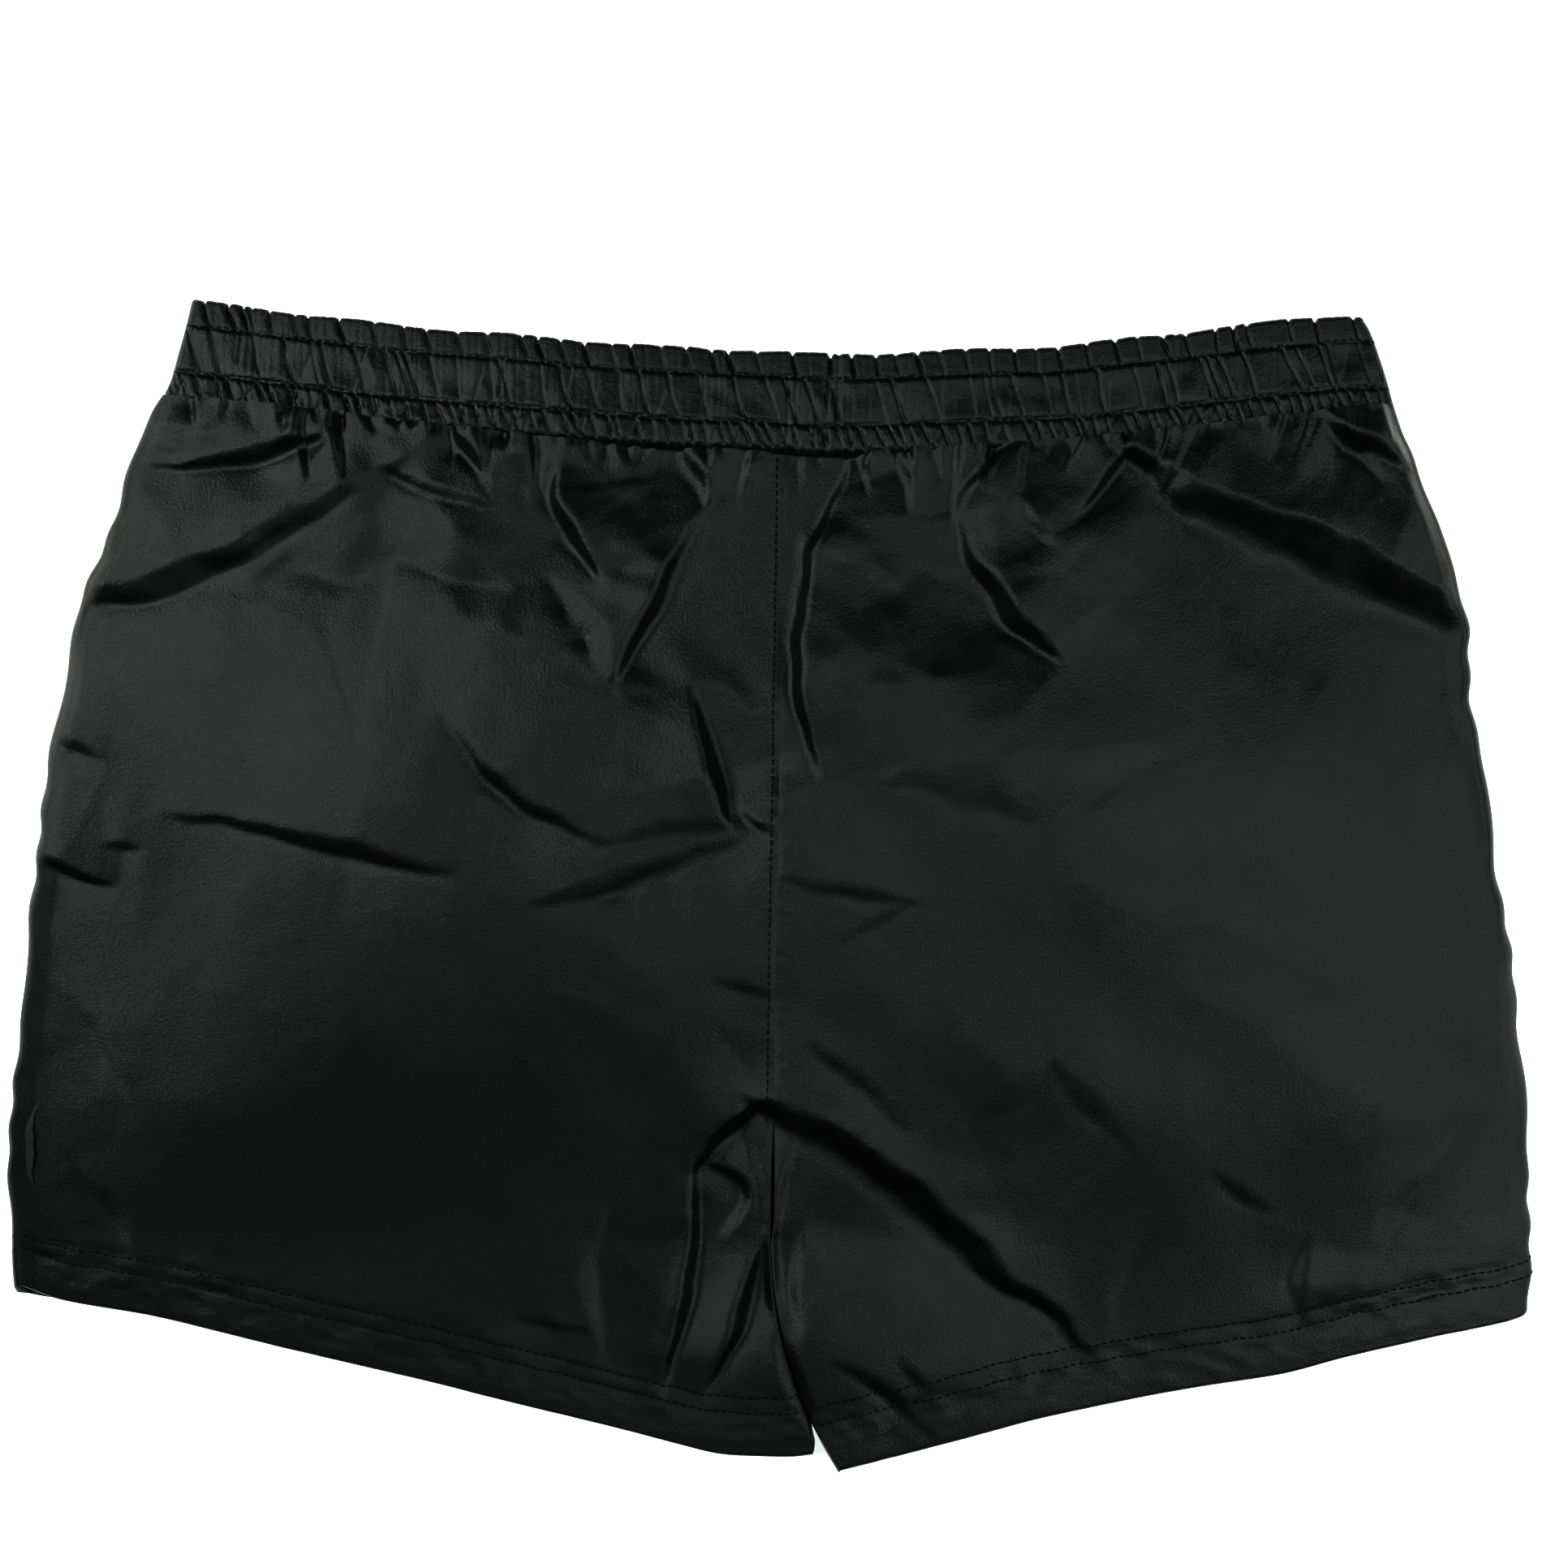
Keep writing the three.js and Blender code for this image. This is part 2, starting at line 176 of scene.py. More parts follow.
# %% Sockets as values
class Socket:
    """A shader socket that can be used in an expression."""

    def __init__(self, tree, socket):
        self.tree = tree
        self.socket = socket

    def maths(self, operation, *values):
        return node(self.tree, "ShaderNodeMath", {"operation": operation}, dict(enumerate(values)))

    def __add__(self, other):
        return self.maths("ADD", self, other)

    def __radd__(self, other):
        return self.maths("ADD", other, self)

    def __sub__(self, other):
        return self.maths("SUBTRACT", self, other)

    def __rsub__(self, other):
        return self.maths("SUBTRACT", other, self)

    def __mul__(self, other):
        return self.maths("MULTIPLY", self, other)

    def __rmul__(self, other):
        return self.maths("MULTIPLY", other, self)

    def sin(self):
        return self.maths("SINE", self)


def node(tree, kind, settings=None, inputs=None, output=0):
    """Adds one node: its settings first, then the values or links of its sockets."""
    made = tree.nodes.new(kind)
    for key, value in (settings or {}).items():
        if key == "stops":
            for stop, (place, colour) in zip(made.color_ramp.elements, value):
                stop.position = place
                stop.color = colour
        else:
            setattr(made, key, value)
    for key, value in (inputs or {}).items():
        if isinstance(value, Socket):
            tree.links.new(value.socket, made.inputs[key])
        else:
            made.inputs[key].default_value = value
    return Socket(tree, made.outputs[output]) if made.outputs else None


def x_and_y(tree, vector):
    """The first two parts of a vector."""
    x = node(tree, "ShaderNodeSeparateXYZ", {}, {0: vector})
    return x, Socket(tree, x.socket.node.outputs[1])


def clouds(tree, place, scale, detail):
    """Soft noise between 0 and 1, with so many repeats to a metre."""
    return node(tree, "ShaderNodeTexNoise", {}, {"Vector": place, "Scale": scale, "Detail": detail})


def mix(tree, share, first, second):
    """A colour between two others."""
    return node(tree, "ShaderNodeMix", {"data_type": "RGBA"}, {0: share, 6: first, 7: second}, output=2)


def bump(tree, strength, distance, height):
    return node(tree, "ShaderNodeBump", {}, {"Strength": strength, "Distance": distance, "Height": height})


def uv_map(tree):
    return node(tree, "ShaderNodeUVMap", {"uv_map": "cloth"})


def object_place(tree):
    return node(tree, "ShaderNodeTexCoord", {}, {}, output=3)


def scaled(colour, *factors):
    """A colour with its channels multiplied, by one factor or by three."""
    factors = factors if len(factors) == 3 else factors * 3
    return tuple(c * f for c, f in zip(colour, factors)) + (1,)


def new_material(name):
    made = bpy.data.materials.new(name)
    made.use_nodes = True
    made.node_tree.nodes.clear()
    return made, made.node_tree


def finish_material(tree, inputs):
    """A Principled surface with these sockets, joined to the output."""
    surface = node(tree, "ShaderNodeBsdfPrincipled", {}, inputs)
    node(tree, "ShaderNodeOutputMaterial", {}, {"Surface": surface})


# %% Floor material
floor_material, tree = new_material("floor_white")
finish_material(tree, {"Base Color": (0.93, 0.925, 0.915, 1), "Roughness": 0.9,
                       "Emission Color": (1.0, 1.0, 0.99, 1), "Emission Strength": 0.55})
floor_mesh.materials.append(floor_material)


# %% [markdown]
# ## Nylon
# The cloth is a tight plain weave of black nylon. From a hand's distance the weave is a fine grain, the
# dye is not quite even, and the surface has a satin gloss that is rougher where the cloth is
# crumpled. The weave follows the cloth, so it reads the UV map, which holds real metres.

# %% Nylon material
WEAVE_PITCH = 0.45 * MM


def nylon_material(name, colour, roughness, grain):
    """Plain-woven nylon: weave and slubs in the bump, uneven dye in the colour and the gloss."""
    made, tree = new_material(name)
    uv, place = uv_map(tree), object_place(tree)
    along, across = x_and_y(tree, uv)
    turns = 2 * math.pi / WEAVE_PITCH
    weave = (along * turns).sin() * (across * turns).sin()
    slubs = clouds(tree, uv, 900.0, 3.0)
    crumple = clouds(tree, uv, 140.0, 4.0)
    shade = clouds(tree, place, 16.0, 5.0)
    tint = clouds(tree, place, 26.0, 2.0)
    light = scaled(colour, 1.35)
    base = mix(tree, shade, scaled(colour, 0.72), light)
    base = mix(tree, 2.2 * (tint - 0.36), base, scaled(colour, 2.2, 0.85, 1.9))
    base = mix(tree, slubs * 0.6, base, light)
    rough = roughness + 0.12 * (crumple - 0.5) + 0.14 * (shade - 0.5) + 0.18 * (slubs - 0.5)
    height = 0.3 * weave + 2.6 * slubs + 1.4 * crumple
    finish_material(tree, {
        "Base Color": base, "Roughness": rough, "Normal": bump(tree, grain, 0.10 * MM, height),
        "Specular IOR Level": 0.5, "Sheen Weight": 0.0,
    })
    return made


nylon = nylon_material("black_nylon", (0.0034, 0.0052, 0.0040), 0.335, 0.9)
nylon_inside = nylon_material("black_nylon_inside", (0.010, 0.0105, 0.0105), 0.6, 0.6)


def thread_material(name, colour, roughness):
    """Sewing thread: a fine mottle in place of its plies, and a soft gloss."""
    made, tree = new_material(name)
    ply = clouds(tree, object_place(tree), 4000.0, 2.0)
    base = mix(tree, ply, scaled(colour, 0.6), scaled(colour, 1.5))
    finish_material(tree, {"Base Color": base, "Roughness": roughness,
                           "Normal": bump(tree, 0.6, 0.05 * MM, ply), "Specular IOR Level": 0.25})
    return made


black_thread = thread_material("black_thread", (0.003, 0.003, 0.003), 0.75)


# %% [markdown]
# ## The outline
# A pair of shorts that has been put down by hand is never quite symmetrical. The lines below are the
# finished edges: places along an edge with the value there, joined and then rounded a little, as
# cloth has no sharp corners. Both layers share them, so that the side seams stay closed.

# %% Edges as functions
def rounded_line(points, softness):
    """A function through (place, value) pairs, with its corners rounded over softness millimetres."""
    places, values = np.array(sorted(points), float).T
    reach = np.arange(-2.5 * softness, 2.5 * softness + 0.25, 0.5)
    weights = np.exp(-((reach / softness) ** 2))
    fine = np.arange(places[0] - 80, places[-1] + 80.5, 0.5)
    line = np.interp(fine, places, values)
    first_slope = (values[1] - values[0]) / (places[1] - places[0])
    last_slope = (values[-1] - values[-2]) / (places[-1] - places[-2])
    line += np.minimum(fine - places[0], 0) * first_slope + np.maximum(fine - places[-1], 0) * last_slope
    rounded = np.convolve(line, weights / weights.sum(), mode="same")
    return lambda place: np.interp(place, fine[60:-60], rounded[60:-60])


waist_line = rounded_line([(-224, 221), (-142, 212), (-42, 205.3), (-5, 204.6), (20, 203.2), (106, 208),
                           (205, 221.5), (224, 221)], 9)
waist_seam = rounded_line([(-238, 184.5), (-170, 178.5), (-90, 170), (3.4, 165.5), (95, 170.5),
                           (234, 187.7)], 16)
side_left = rounded_line([(-156, -286), (-106, -290), (-72, -286), (-3, -280), (21.5, -278), (62, -272),
                          (105, -264), (133.5, -253), (158, -246), (180, -238), (187, -232), (199, -229),
                          (212, -225.5), (221, -224)], 5)
side_right = rounded_line([(-156, 294), (-137, 294), (-90, 292), (-28.5, 285), (8.5, 278), (46, 273),
                           (73.5, 267), (106, 265), (145, 254), (163, 245), (188, 236), (198.5, 233),
                           (217, 226.5), (222, 224)], 5)
hem_left = rounded_line([(-286, -156), (-275, -161), (-237, -167), (-182, -179), (-129, -190),
                         (-76, -203), (-23, -216.5), (8, -217), (22, -212)], 7)
hem_right = rounded_line([(32.5, -224), (66.5, -214.5), (113, -200.5), (168, -188), (202, -181.5),
                          (221, -175), (255, -166), (283, -160), (294, -156)], 7)
INSEAM_LEAN = 28.0
INSEAM_DROP = 98.0
SEAM_X = 3.5


def middle_line(y):
    """The centre seam, and below the crotch the line where the two legs meet."""
    below = np.clip((CROTCH_Y - y) / INSEAM_DROP, 0, None)
    return SEAM_X + INSEAM_LEAN * below ** 2.2


LEGS = {
    "left": {"side": side_left, "hem": hem_left, "tip": (21.5, -213.0), "corner": (-286, -156), "sign": -1},
    "right": {"side": side_right, "hem": hem_right, "tip": (32.5, -224.0), "corner": (294, -156), "sign": 1},
}
print("width across the hems", round(side_right(-156) - side_left(-156), 1), "mm")


# %% [markdown]
# ## Reliefs
# The cloth's bumps and folds are kept as height maps, in millimetres above the flat lying cloth.
# A map is easy to build up from parts, and anything that lies on the cloth, such as a stitch, can
# ask it for the height. Random parts come from one seeded generator, so every run is the same.

# %% A map of heights and soft noise
MAP_STEP = 0.8
map_x = np.arange(-320, 320.1, MAP_STEP)
map_y = np.arange(-250, 250.1, MAP_STEP)
X, Y = np.meshgrid(map_x, map_y)
rng = np.random.default_rng(7)


def smoothstep(value):
    value = np.clip(value, 0, 1)
    return value * value * (3 - 2 * value)


def noise(size, stretch=1.0, angle=0.0):
    """Even noise with bumps about size millimetres across, drawn out along one direction."""
    rows, columns = X.shape
    fy = np.fft.fftfreq(rows, MAP_STEP)[:, None]
    fx = np.fft.fftfreq(columns, MAP_STEP)[None, :]
    turn = math.radians(angle)
    along = (fx * math.cos(turn) + fy * math.sin(turn)) * size * stretch
    across = (fy * math.cos(turn) - fx * math.sin(turn)) * size
    band = along ** 2 + across ** 2
    weight = np.exp(-band * 4.0) * (1 - np.exp(-band * 40.0))
    field = np.fft.ifft2(np.fft.fft2(rng.standard_normal(X.shape)) * weight).real
    return field / field.std()


def creased(field, sharpness=0.15):
    """Turns soft noise into cloth-like creases: smooth hollows between sharp ridges."""
    return 0.8 - np.sqrt(field ** 2 + sharpness ** 2)


def read_map(field, x, y, first_x, first_y, step):
    """Values of a map at any places, in between its points."""
    fx = np.clip((np.asarray(x) - first_x) / step, 0, field.shape[1] - 1.001)
    fy = np.clip((np.asarray(y) - first_y) / step, 0, field.shape[0] - 1.001)
    ix, iy = fx.astype(int), fy.astype(int)
    tx, ty = fx - ix, fy - iy
    low = field[iy, ix] * (1 - tx) + field[iy, ix + 1] * tx
    high = field[iy + 1, ix] * (1 - tx) + field[iy + 1, ix + 1] * tx
    return low * (1 - ty) + high * ty


def look_up(field, x, y):
    return read_map(field, x, y, map_x[0], map_y[0], MAP_STEP)


# %% [markdown]
# ## Folds
# A fold in light nylon is a flank: a long facet of even slope, widest somewhere along its length and
# running out to a point at its ends. The cloth stands high on one side of it and low on the other,
# and comes back slowly. Because the slope is even, the whole facet mirrors one part of the room,
# which is why folds in shiny cloth look like clean dark wedges.

# %% A fold along a line
def path_places(points, spacing=1.2):
    """Evenly spaced places on a smooth curve through the given points."""
    points = np.array(points, float)
    lengths = np.concatenate([[0], np.cumsum(np.hypot(*np.diff(points, axis=0).T))])
    along = np.arange(0, lengths[-1] + spacing, spacing)
    places = np.stack([np.interp(along, lengths, points[:, k]) for k in (0, 1)], 1)
    for _ in range(12 if len(points) > 2 else 0):
        places[1:-1] = (places[:-2] + 2 * places[1:-1] + places[2:]) / 4
    return places


ragged = noise(11)
STEEPER = 0.55


def fold(points, width, slope, rise="left", widest=0.5, first=0.0, last=0.0, reach=None, tuck=0.45):
    """The height map of one fold: its flank's line, greatest width in millimetres, and slope.

    rise says which side is high, walking along the points. first and last are the shares of the
    width left at the two ends, reach is how far the cloth takes to come back to rest, and tuck is how
    deep the foot of the flank is tucked in. Flanks steeper than a half stand up further still."""
    places = path_places(points)
    slope = slope * (1 + STEEPER * float(smoothstep((slope - 0.5) / 0.2)))
    reach = reach or 9 + 2.4 * width
    room = width + 4 * reach
    columns = (map_x > places[:, 0].min() - room) & (map_x < places[:, 0].max() + room)
    rows = (map_y > places[:, 1].min() - room) & (map_y < places[:, 1].max() + room)
    x, y = X[np.ix_(rows, columns)], Y[np.ix_(rows, columns)]
    nearest = np.full(x.shape, 1e9)
    signed = np.zeros(x.shape)
    where = np.zeros(x.shape)
    directions = np.gradient(places, axis=0)
    directions /= np.hypot(*directions.T)[:, None]
    for k, (place, direction) in enumerate(zip(places, directions)):
        dx, dy = x - place[0], y - place[1]
        distance = dx * dx + dy * dy
        closer = distance < nearest
        nearest[closer] = distance[closer]
        signed[closer] = (direction[0] * dy - direction[1] * dx)[closer]
        where[closer] = k / (len(places) - 1)
    overshoot = np.sqrt(np.maximum(nearest - signed ** 2, 0))
    if rise == "right":
        signed = -signed
    signed = signed + 0.05 * (width + 4) * ragged[np.ix_(rows, columns)]
    before = first + (1 - first) * np.clip(where / widest, 0, 1) ** 0.75
    after = last + (1 - last) * np.clip((1 - where) / (1 - widest), 0, 1) ** 0.75
    half = 0.5 * width * np.minimum(before, after) * np.exp(-(overshoot / (0.35 * reach)) ** 2)
    outside = np.clip(np.abs(signed) - half, 0, None)
    height = np.sign(signed) * slope * np.minimum(np.abs(signed), half)
    height = height * np.exp(-((outside / reach) ** 1.25))
    foot = 0.8 + 0.45 * half
    height -= tuck * slope * half * np.exp(-(((signed + half) / foot) ** 2))
    made = np.zeros(X.shape)
    made[np.ix_(rows, columns)] = height
    return made


def soften(field, radius):
    """Rounds a map's sharp lines over a radius in millimetres."""
    fy = np.fft.fftfreq(field.shape[0], MAP_STEP)[:, None]
    fx = np.fft.fftfreq(field.shape[1], MAP_STEP)[None, :]
    weight = np.exp(-2 * (np.pi * radius) ** 2 * (fx ** 2 + fy ** 2))
    return np.fft.ifft2(np.fft.fft2(field) * weight).real


# %% The folds of the back, from the left side to the right
FOLDS = [
    # points along the fold, greatest width, slope, and what differs from the usual
    # under the left end of the waistband: the long fold, its soft shoulder and its branch
    ([(-272, 102), (-233, 110), (-202, 123), (-172, 141), (-136, 162)], 9, 0.55,
     dict(widest=0.35, first=0.7)),
    ([(-262, 114), (-228, 121), (-196, 134), (-165, 153)], 20, 0.13, dict(widest=0.5)),
    ([(-222, 106), (-182, 126), (-142, 136), (-98, 110)], 30, 0.16, dict(widest=0.55)),
    ([(-152, 159), (-134, 151), (-122, 147), (-100, 142)], 5, 0.55, dict(widest=0.4)),
    ([(-240, 169), (-208, 170)], 3.5, 0.5, {}),
    ([(-241, 162), (-210, 163)], 3.5, 0.5, {}),
    ([(-240, 155), (-214, 157), (-194, 162), (-168, 168)], 6, 0.7, dict(widest=0.75)),
    ([(-196, 158), (-182, 173)], 3.5, 0.4, dict(rise="right")),
    ([(-176, 157), (-165, 174)], 3.5, 0.4, dict(rise="right")),
    # short folds hanging from the waist seam
    ([(-122, 174), (-114, 162), (-106, 146)], 6, 0.7, dict(widest=0.3)),
    ([(-84, 160), (-86, 148), (-79, 135), (-64, 115)], 7, 0.75, dict(widest=0.55)),
    ([(-37, 169), (-29, 156), (-24, 143)], 8, 0.75, dict(widest=0.35)),
    ([(-22, 150), (-32, 131), (-44, 107), (-60, 74)], 7, 1.1, dict(rise="right", widest=0.4)),
    ([(-20, 129), (3, 119)], 5, 0.25, {}),
    ([(30, 167), (20, 146), (12, 133), (9, 112), (9, 90), (11, 69), (19, 40)], 8, 1.1,
     dict(widest=0.3, first=0.2)),
    ([(24, 158), (14, 143), (12, 128)], 4, 0.8, dict(rise="right")),
    ([(46, 169), (51, 157), (52, 143)], 5, 0.8, dict(widest=0.3)),
    ([(102, 173), (87, 167), (72, 154), (68, 138)], 4, 0.7, dict(widest=0.6)),
    ([(69, 142), (78, 117), (92, 102), (109, 86)], 9, 0.75, dict(widest=0.55)),
    ([(54, 124), (77, 119), (95, 104)], 9, 0.4, dict(widest=0.5)),
    ([(135, 170), (124, 155), (114, 142)], 4.5, 0.9, dict(rise="right", widest=0.3)),
    ([(92, 149), (98, 139), (106, 131)], 3.5, 0.6, {}),
    ([(204, 184), (219, 169), (231, 156)], 5, 0.7, dict(widest=0.4)),
    ([(210, 179), (228, 167), (243, 162)], 5, 0.7, dict(widest=0.4)),
    # the great fold under the right end of the waistband
    ([(124, 178), (147, 158), (169, 144), (201, 130), (232, 117), (272, 98)], 21, 0.6,
     dict(widest=0.55, last=0.7, reach=30)),
    ([(243, 96), (268, 87)], 5, 0.5, {}),
    # the middle of the left half, down to the edge of the pocket bag
    ([(-124, 66), (-108, 46), (-89, 28), (-60, 16)], 7, 0.55, dict(widest=0.4)),
    ([(-86, 118), (-66, 96), (-58, 70)], 10, 0.3, dict(widest=0.5)),
    ([(-30, 76), (-22, 50), (-14, 22)], 6, 1.1, dict(widest=0.6, rise="right")),
    # the seat's wide hollow below the waist, on both sides of the seam
    ([(-125, 112), (-50, 98), (40, 98), (125, 112)], 58, 0.14, dict(rise="right", reach=50, tuck=0)),
    ([(-14, 34), (-5, 24), (3, 20)], 4, 0.6, {}),
    ([(-90, -9), (-64, 0), (-39, 9), (-8, 20)], 8, 0.5, dict(widest=0.4)),
    ([(-70, 14), (-40, 22), (-14, 24)], 6, 0.3, dict(widest=0.5)),
    ([(-230, 27), (-191, 20), (-160, 13), (-116, 4)], 8, 0.5, dict(widest=0.65)),
    ([(-284, 14), (-266, 2), (-246, -3)], 5, 0.6, dict(widest=0.4)),
    ([(-252, 13), (-236, 11)], 3, 0.5, {}),
    ([(-276, 55), (-250, 45)], 5, 0.5, {}),
    ([(-270, -40), (-252, -58), (-244, -80)], 8, 0.2, {}),
    ([(-262, -110), (-246, -128), (-238, -148)], 7, 0.25, {}),
    # beside and below the centre seam
    ([(4, 4), (29, 0), (58, -5)], 5, 0.35, dict(widest=0.6)),
    ([(56, -4), (42, -11), (28, -22)], 4, 0.35, dict(rise="right")),
    ([(-20, -34), (3, -41)], 4, 0.35, {}),
    ([(40, 44), (93, 38), (150, 56)], 26, 0.12, {}),
    ([(16, -58), (36, -73), (56, -92)], 6, 0.3, {}),
    ([(84, -87), (110, -64)], 9, 0.15, {}),
    ([(106, -62), (140, -98)], 9, 0.2, {}),
    # from the crotch: the dark fold over the right leg, and the ridges on the left one
    ([(3, -84), (30, -97), (52, -113), (75, -133), (96, -151), (124, -174)], 13.5, 0.62,
     dict(widest=0.35, first=0.6, last=0.1, reach=22)),
    ([(2, -80), (-13, -92), (-28, -110)], 7, 0.7, dict(rise="right", widest=0.4)),
    ([(-22, -106), (-8, -111), (-6, -119), (-18, -134)], 6, 0.9, dict(widest=0.4)),
    ([(-26, -102), (-25, -133), (-29, -161), (-38, -196)], 6, 0.95,
     dict(rise="right", widest=0.5, reach=9)),
    ([(2, -130), (-4, -148), (-9, -170), (-22, -196)], 8, 0.8, dict(rise="right", widest=0.4, reach=11)),
    ([(15, -128), (12, -150), (14, -176)], 5, 0.5, dict(widest=0.3)),
    ([(26, -178), (44, -187), (68, -210)], 6, 0.5, {}),
    ([(52, -176), (66, -192)], 4, 0.4, {}),
    # down the right leg and along the hems
    ([(168, -105), (193, -119)], 5, 0.4, {}),
    ([(208, -130), (202, -146), (207, -162)], 6, 0.45, {}),
    ([(262, -88), (240, -112), (226, -150)], 10, 0.22, dict(rise="right")),
    ([(150, -118), (136, -140), (132, -165)], 9, 0.18, dict(rise="right")),
    ([(-96, -164), (-77, -169), (-64, -170)], 4, 0.4, {}),
    ([(-60, -120), (-66, -150), (-60, -180)], 9, 0.25, dict(rise="right")),
]
FOLD_EDGE = 0.9
fold_map = soften(sum(fold(*shape, **unusual) for *shape, unusual in FOLDS), FOLD_EDGE)
print(len(FOLDS), "folds, from", round(fold_map.min(), 1), "to", round(fold_map.max(), 1), "mm")

# %% [markdown]
# ## Gathers under the waistband
# The elastic draws in more cloth than the band is long. Under the lowest row of stitching the spare
# cloth runs out in short gathers, most of them under a centimetre and a few up to three. Each is a
# small fold that is widest close to the stitches, leans a little, and runs out to a point.

# %% Gathers
below_seam = waist_seam(X) - Y
GATHERS = 74
gather_map = np.zeros(X.shape)
for start in np.linspace(-230, 232, GATHERS) + rng.normal(0, 2.6, GATHERS):
    length = 5 + 28 * rng.random() ** 3
    lean = rng.normal(0, 0.16) - 0.0010 * start
    bend = rng.normal(0, 0.10)
    top = float(waist_seam(start))
    points = [(start + lean * down + bend * down * down / length, top + 1 - down)
              for down in (0, 0.35 * length, 0.7 * length, length)]
    gather_map += fold(points, width=1.4 + 0.05 * length + 1.2 * rng.random(),
                       slope=0.45 + 0.4 * rng.random(), rise=str(rng.choice(["left", "right"])),
                       widest=0.2, first=0.7, reach=4 + 0.12 * length, tuck=0.6)
gather_map = soften(gather_map, 0.6)
print("gathers reach", round(np.abs(gather_map).max(), 1), "mm")

# %% [markdown]
# ## Crumple
# Between the folds the nylon is never flat. Wide soft waves come from the way the shorts fell, and
# the papery crumple comes from the stiff finish of the cloth. The crumple is noise whose sharp lines
# run along the folds, stronger near the waistband and the crotch than in the middle of a leg.

# %% Waves and crumple
BULGES = [
    # place, reach across, reach along, height
    ((-135, 5), 95, 85, 6.5),
    ((140, 10), 90, 100, 4.5),
    ((38, -172), 42, 30, 6.0),
    ((120, -90), 60, 50, 2.5),
    ((-40, 100), 60, 40, -2.5),
]
bulges = sum(tall * np.exp(-(((X - place[0]) / across) ** 2) - ((Y - place[1]) / along) ** 2)
             for place, across, along, tall in BULGES)
waves = bulges + 1.3 * noise(80, 1.4, 25) + 0.8 * noise(40, 1.9, -35)
near_waist = np.exp(-((below_seam / 62) ** 2))
near_crotch = np.exp(-(((X - SEAM_X) / 52) ** 2 + ((Y + 140) / 62) ** 2))
busy = 0.22 + 0.75 * near_waist + 0.7 * near_crotch
crumple = (1.1 * creased(noise(30, 1.8, 70), 0.12) + 0.7 * creased(noise(19, 1.8, -45), 0.12)) * busy
fine = 0.07 * creased(noise(9, 1.4, 35)) + 0.012 * noise(3.6)
relief = fold_map + gather_map + waves + crumple + fine * (0.5 + 0.6 * busy)

# %% The seam's own groove
to_seam = X - middle_line(Y)
pucker = noise(3.4, 0.45, 90)
groove = -0.4 * np.exp(-((to_seam / 0.8) ** 2)) + 0.09 * pucker * np.exp(-((to_seam / 5.0) ** 2))
relief += groove * smoothstep((Y - CROTCH_Y + 30) / 30)

# %% The hems stitch the cloth flat
HEM_ROWS = (22.0, 16.0)


def above_hem(x, y):
    """How far a place is above the lower edge of its leg."""
    edge = np.where(x < middle_line(y), hem_left(x), hem_right(x))
    return y - edge


hem_distance = above_hem(X, Y)
calm = 1 - 0.40 * smoothstep((30 - hem_distance) / 14)
relief = relief * calm
puckers = 0.09 * noise(5, 0.4, 90) + 0.30 * creased(noise(12, 0.5, 80), 0.15)
relief += puckers * np.exp(-(((hem_distance - 14) / 11) ** 2))
for row in HEM_ROWS:
    relief -= 0.35 * np.exp(-(((hem_distance - row) / 0.8) ** 2))
relief -= 0.7 * smoothstep((7 - hem_distance) / 7)
DEEPEST = 5.2
relief = np.where(relief < 0, DEEPEST * np.tanh(relief / DEEPEST), relief)
print("relief from", round(relief.min(), 1), "to", round(relief.max(), 1), "mm")
front_relief = 0.55 + 0.35 * noise(30, 1.5, 60) + 0.2 * creased(noise(14, 1.6, -50))
front_relief = np.clip(front_relief, 0.05, 2.2)


# %% [markdown]
# ## The lying cloth
# Seen along a row from the inseam to the side, each leg is a flat tube: the back lies on top, the
# front below, and both turn a quarter circle at the edge to meet at half height. The tube is thickest
# at the seat. Above the crotch the inner edge isn't a fold any more, because both legs' cloth meets
# there in one flat seam, so that edge unrolls towards the waist.

# %% Rows across a leg
HALF_TURN = math.pi / 2
FOLD_FADE = 50.0
SIDE_SQUEEZE = 0.6
INNER_SQUEEZE = 0.14
SHARED_END = -218.0


def lying_height(y):
    """Height of the lying tube: thinner at the hem, full at the seat."""
    down = np.clip((BAND_CORNER_Y - y) / (BAND_CORNER_Y - HEM_TOP_CORNER_Y), 0, 1)
    top, full, bottom = BAND_HEIGHT, SEAT_FULLNESS, HEM_HEIGHT
    return (1 - down) ** 2 * top + 2 * down * (1 - down) * full + down ** 2 * bottom


def section(run, end_x, inward, height, roll, depth, squeeze=0.6):
    """Places along a row, from a rolled edge at end_x and inwards: first the turn, then flat."""
    radius = height / 2
    flat_start = end_x + inward * radius * squeeze * np.sin(roll)
    angle = np.clip(roll - run / radius, 0, None)
    flat = np.clip(run - radius * roll, 0, None)
    x = flat_start + inward * flat - inward * (radius * squeeze - depth) * np.sin(angle)
    return x, radius + (radius - depth) * np.cos(angle)


def side_edge(leg, y):
    """The outermost line of a leg's side, with the seam's small puckers."""
    sign = LEGS[leg]["sign"]
    wobble = 0.55 * np.sin(y / 4.1 + 2 * np.sin(y / 17.0 + sign)) + 0.4 * np.sin(y / 9.7 + 3 * sign)
    calm_ends = smoothstep((186 - y) / 20)
    return LEGS[leg]["side"](y) + sign * wobble * calm_ends


def inner_edge(leg, y):
    """The centre seam's line, or the leg's own edge below the crotch."""
    sign = LEGS[leg]["sign"]
    below = np.clip((CROTCH_Y - y) / INSEAM_DROP, 0, None)
    notch = 3.2 * smoothstep((-200 - y) / 14) if leg == "left" else 0.0
    overlap = 1.2 if leg == "right" else 0.0
    return middle_line(y) - overlap * smoothstep(below * 8) - notch


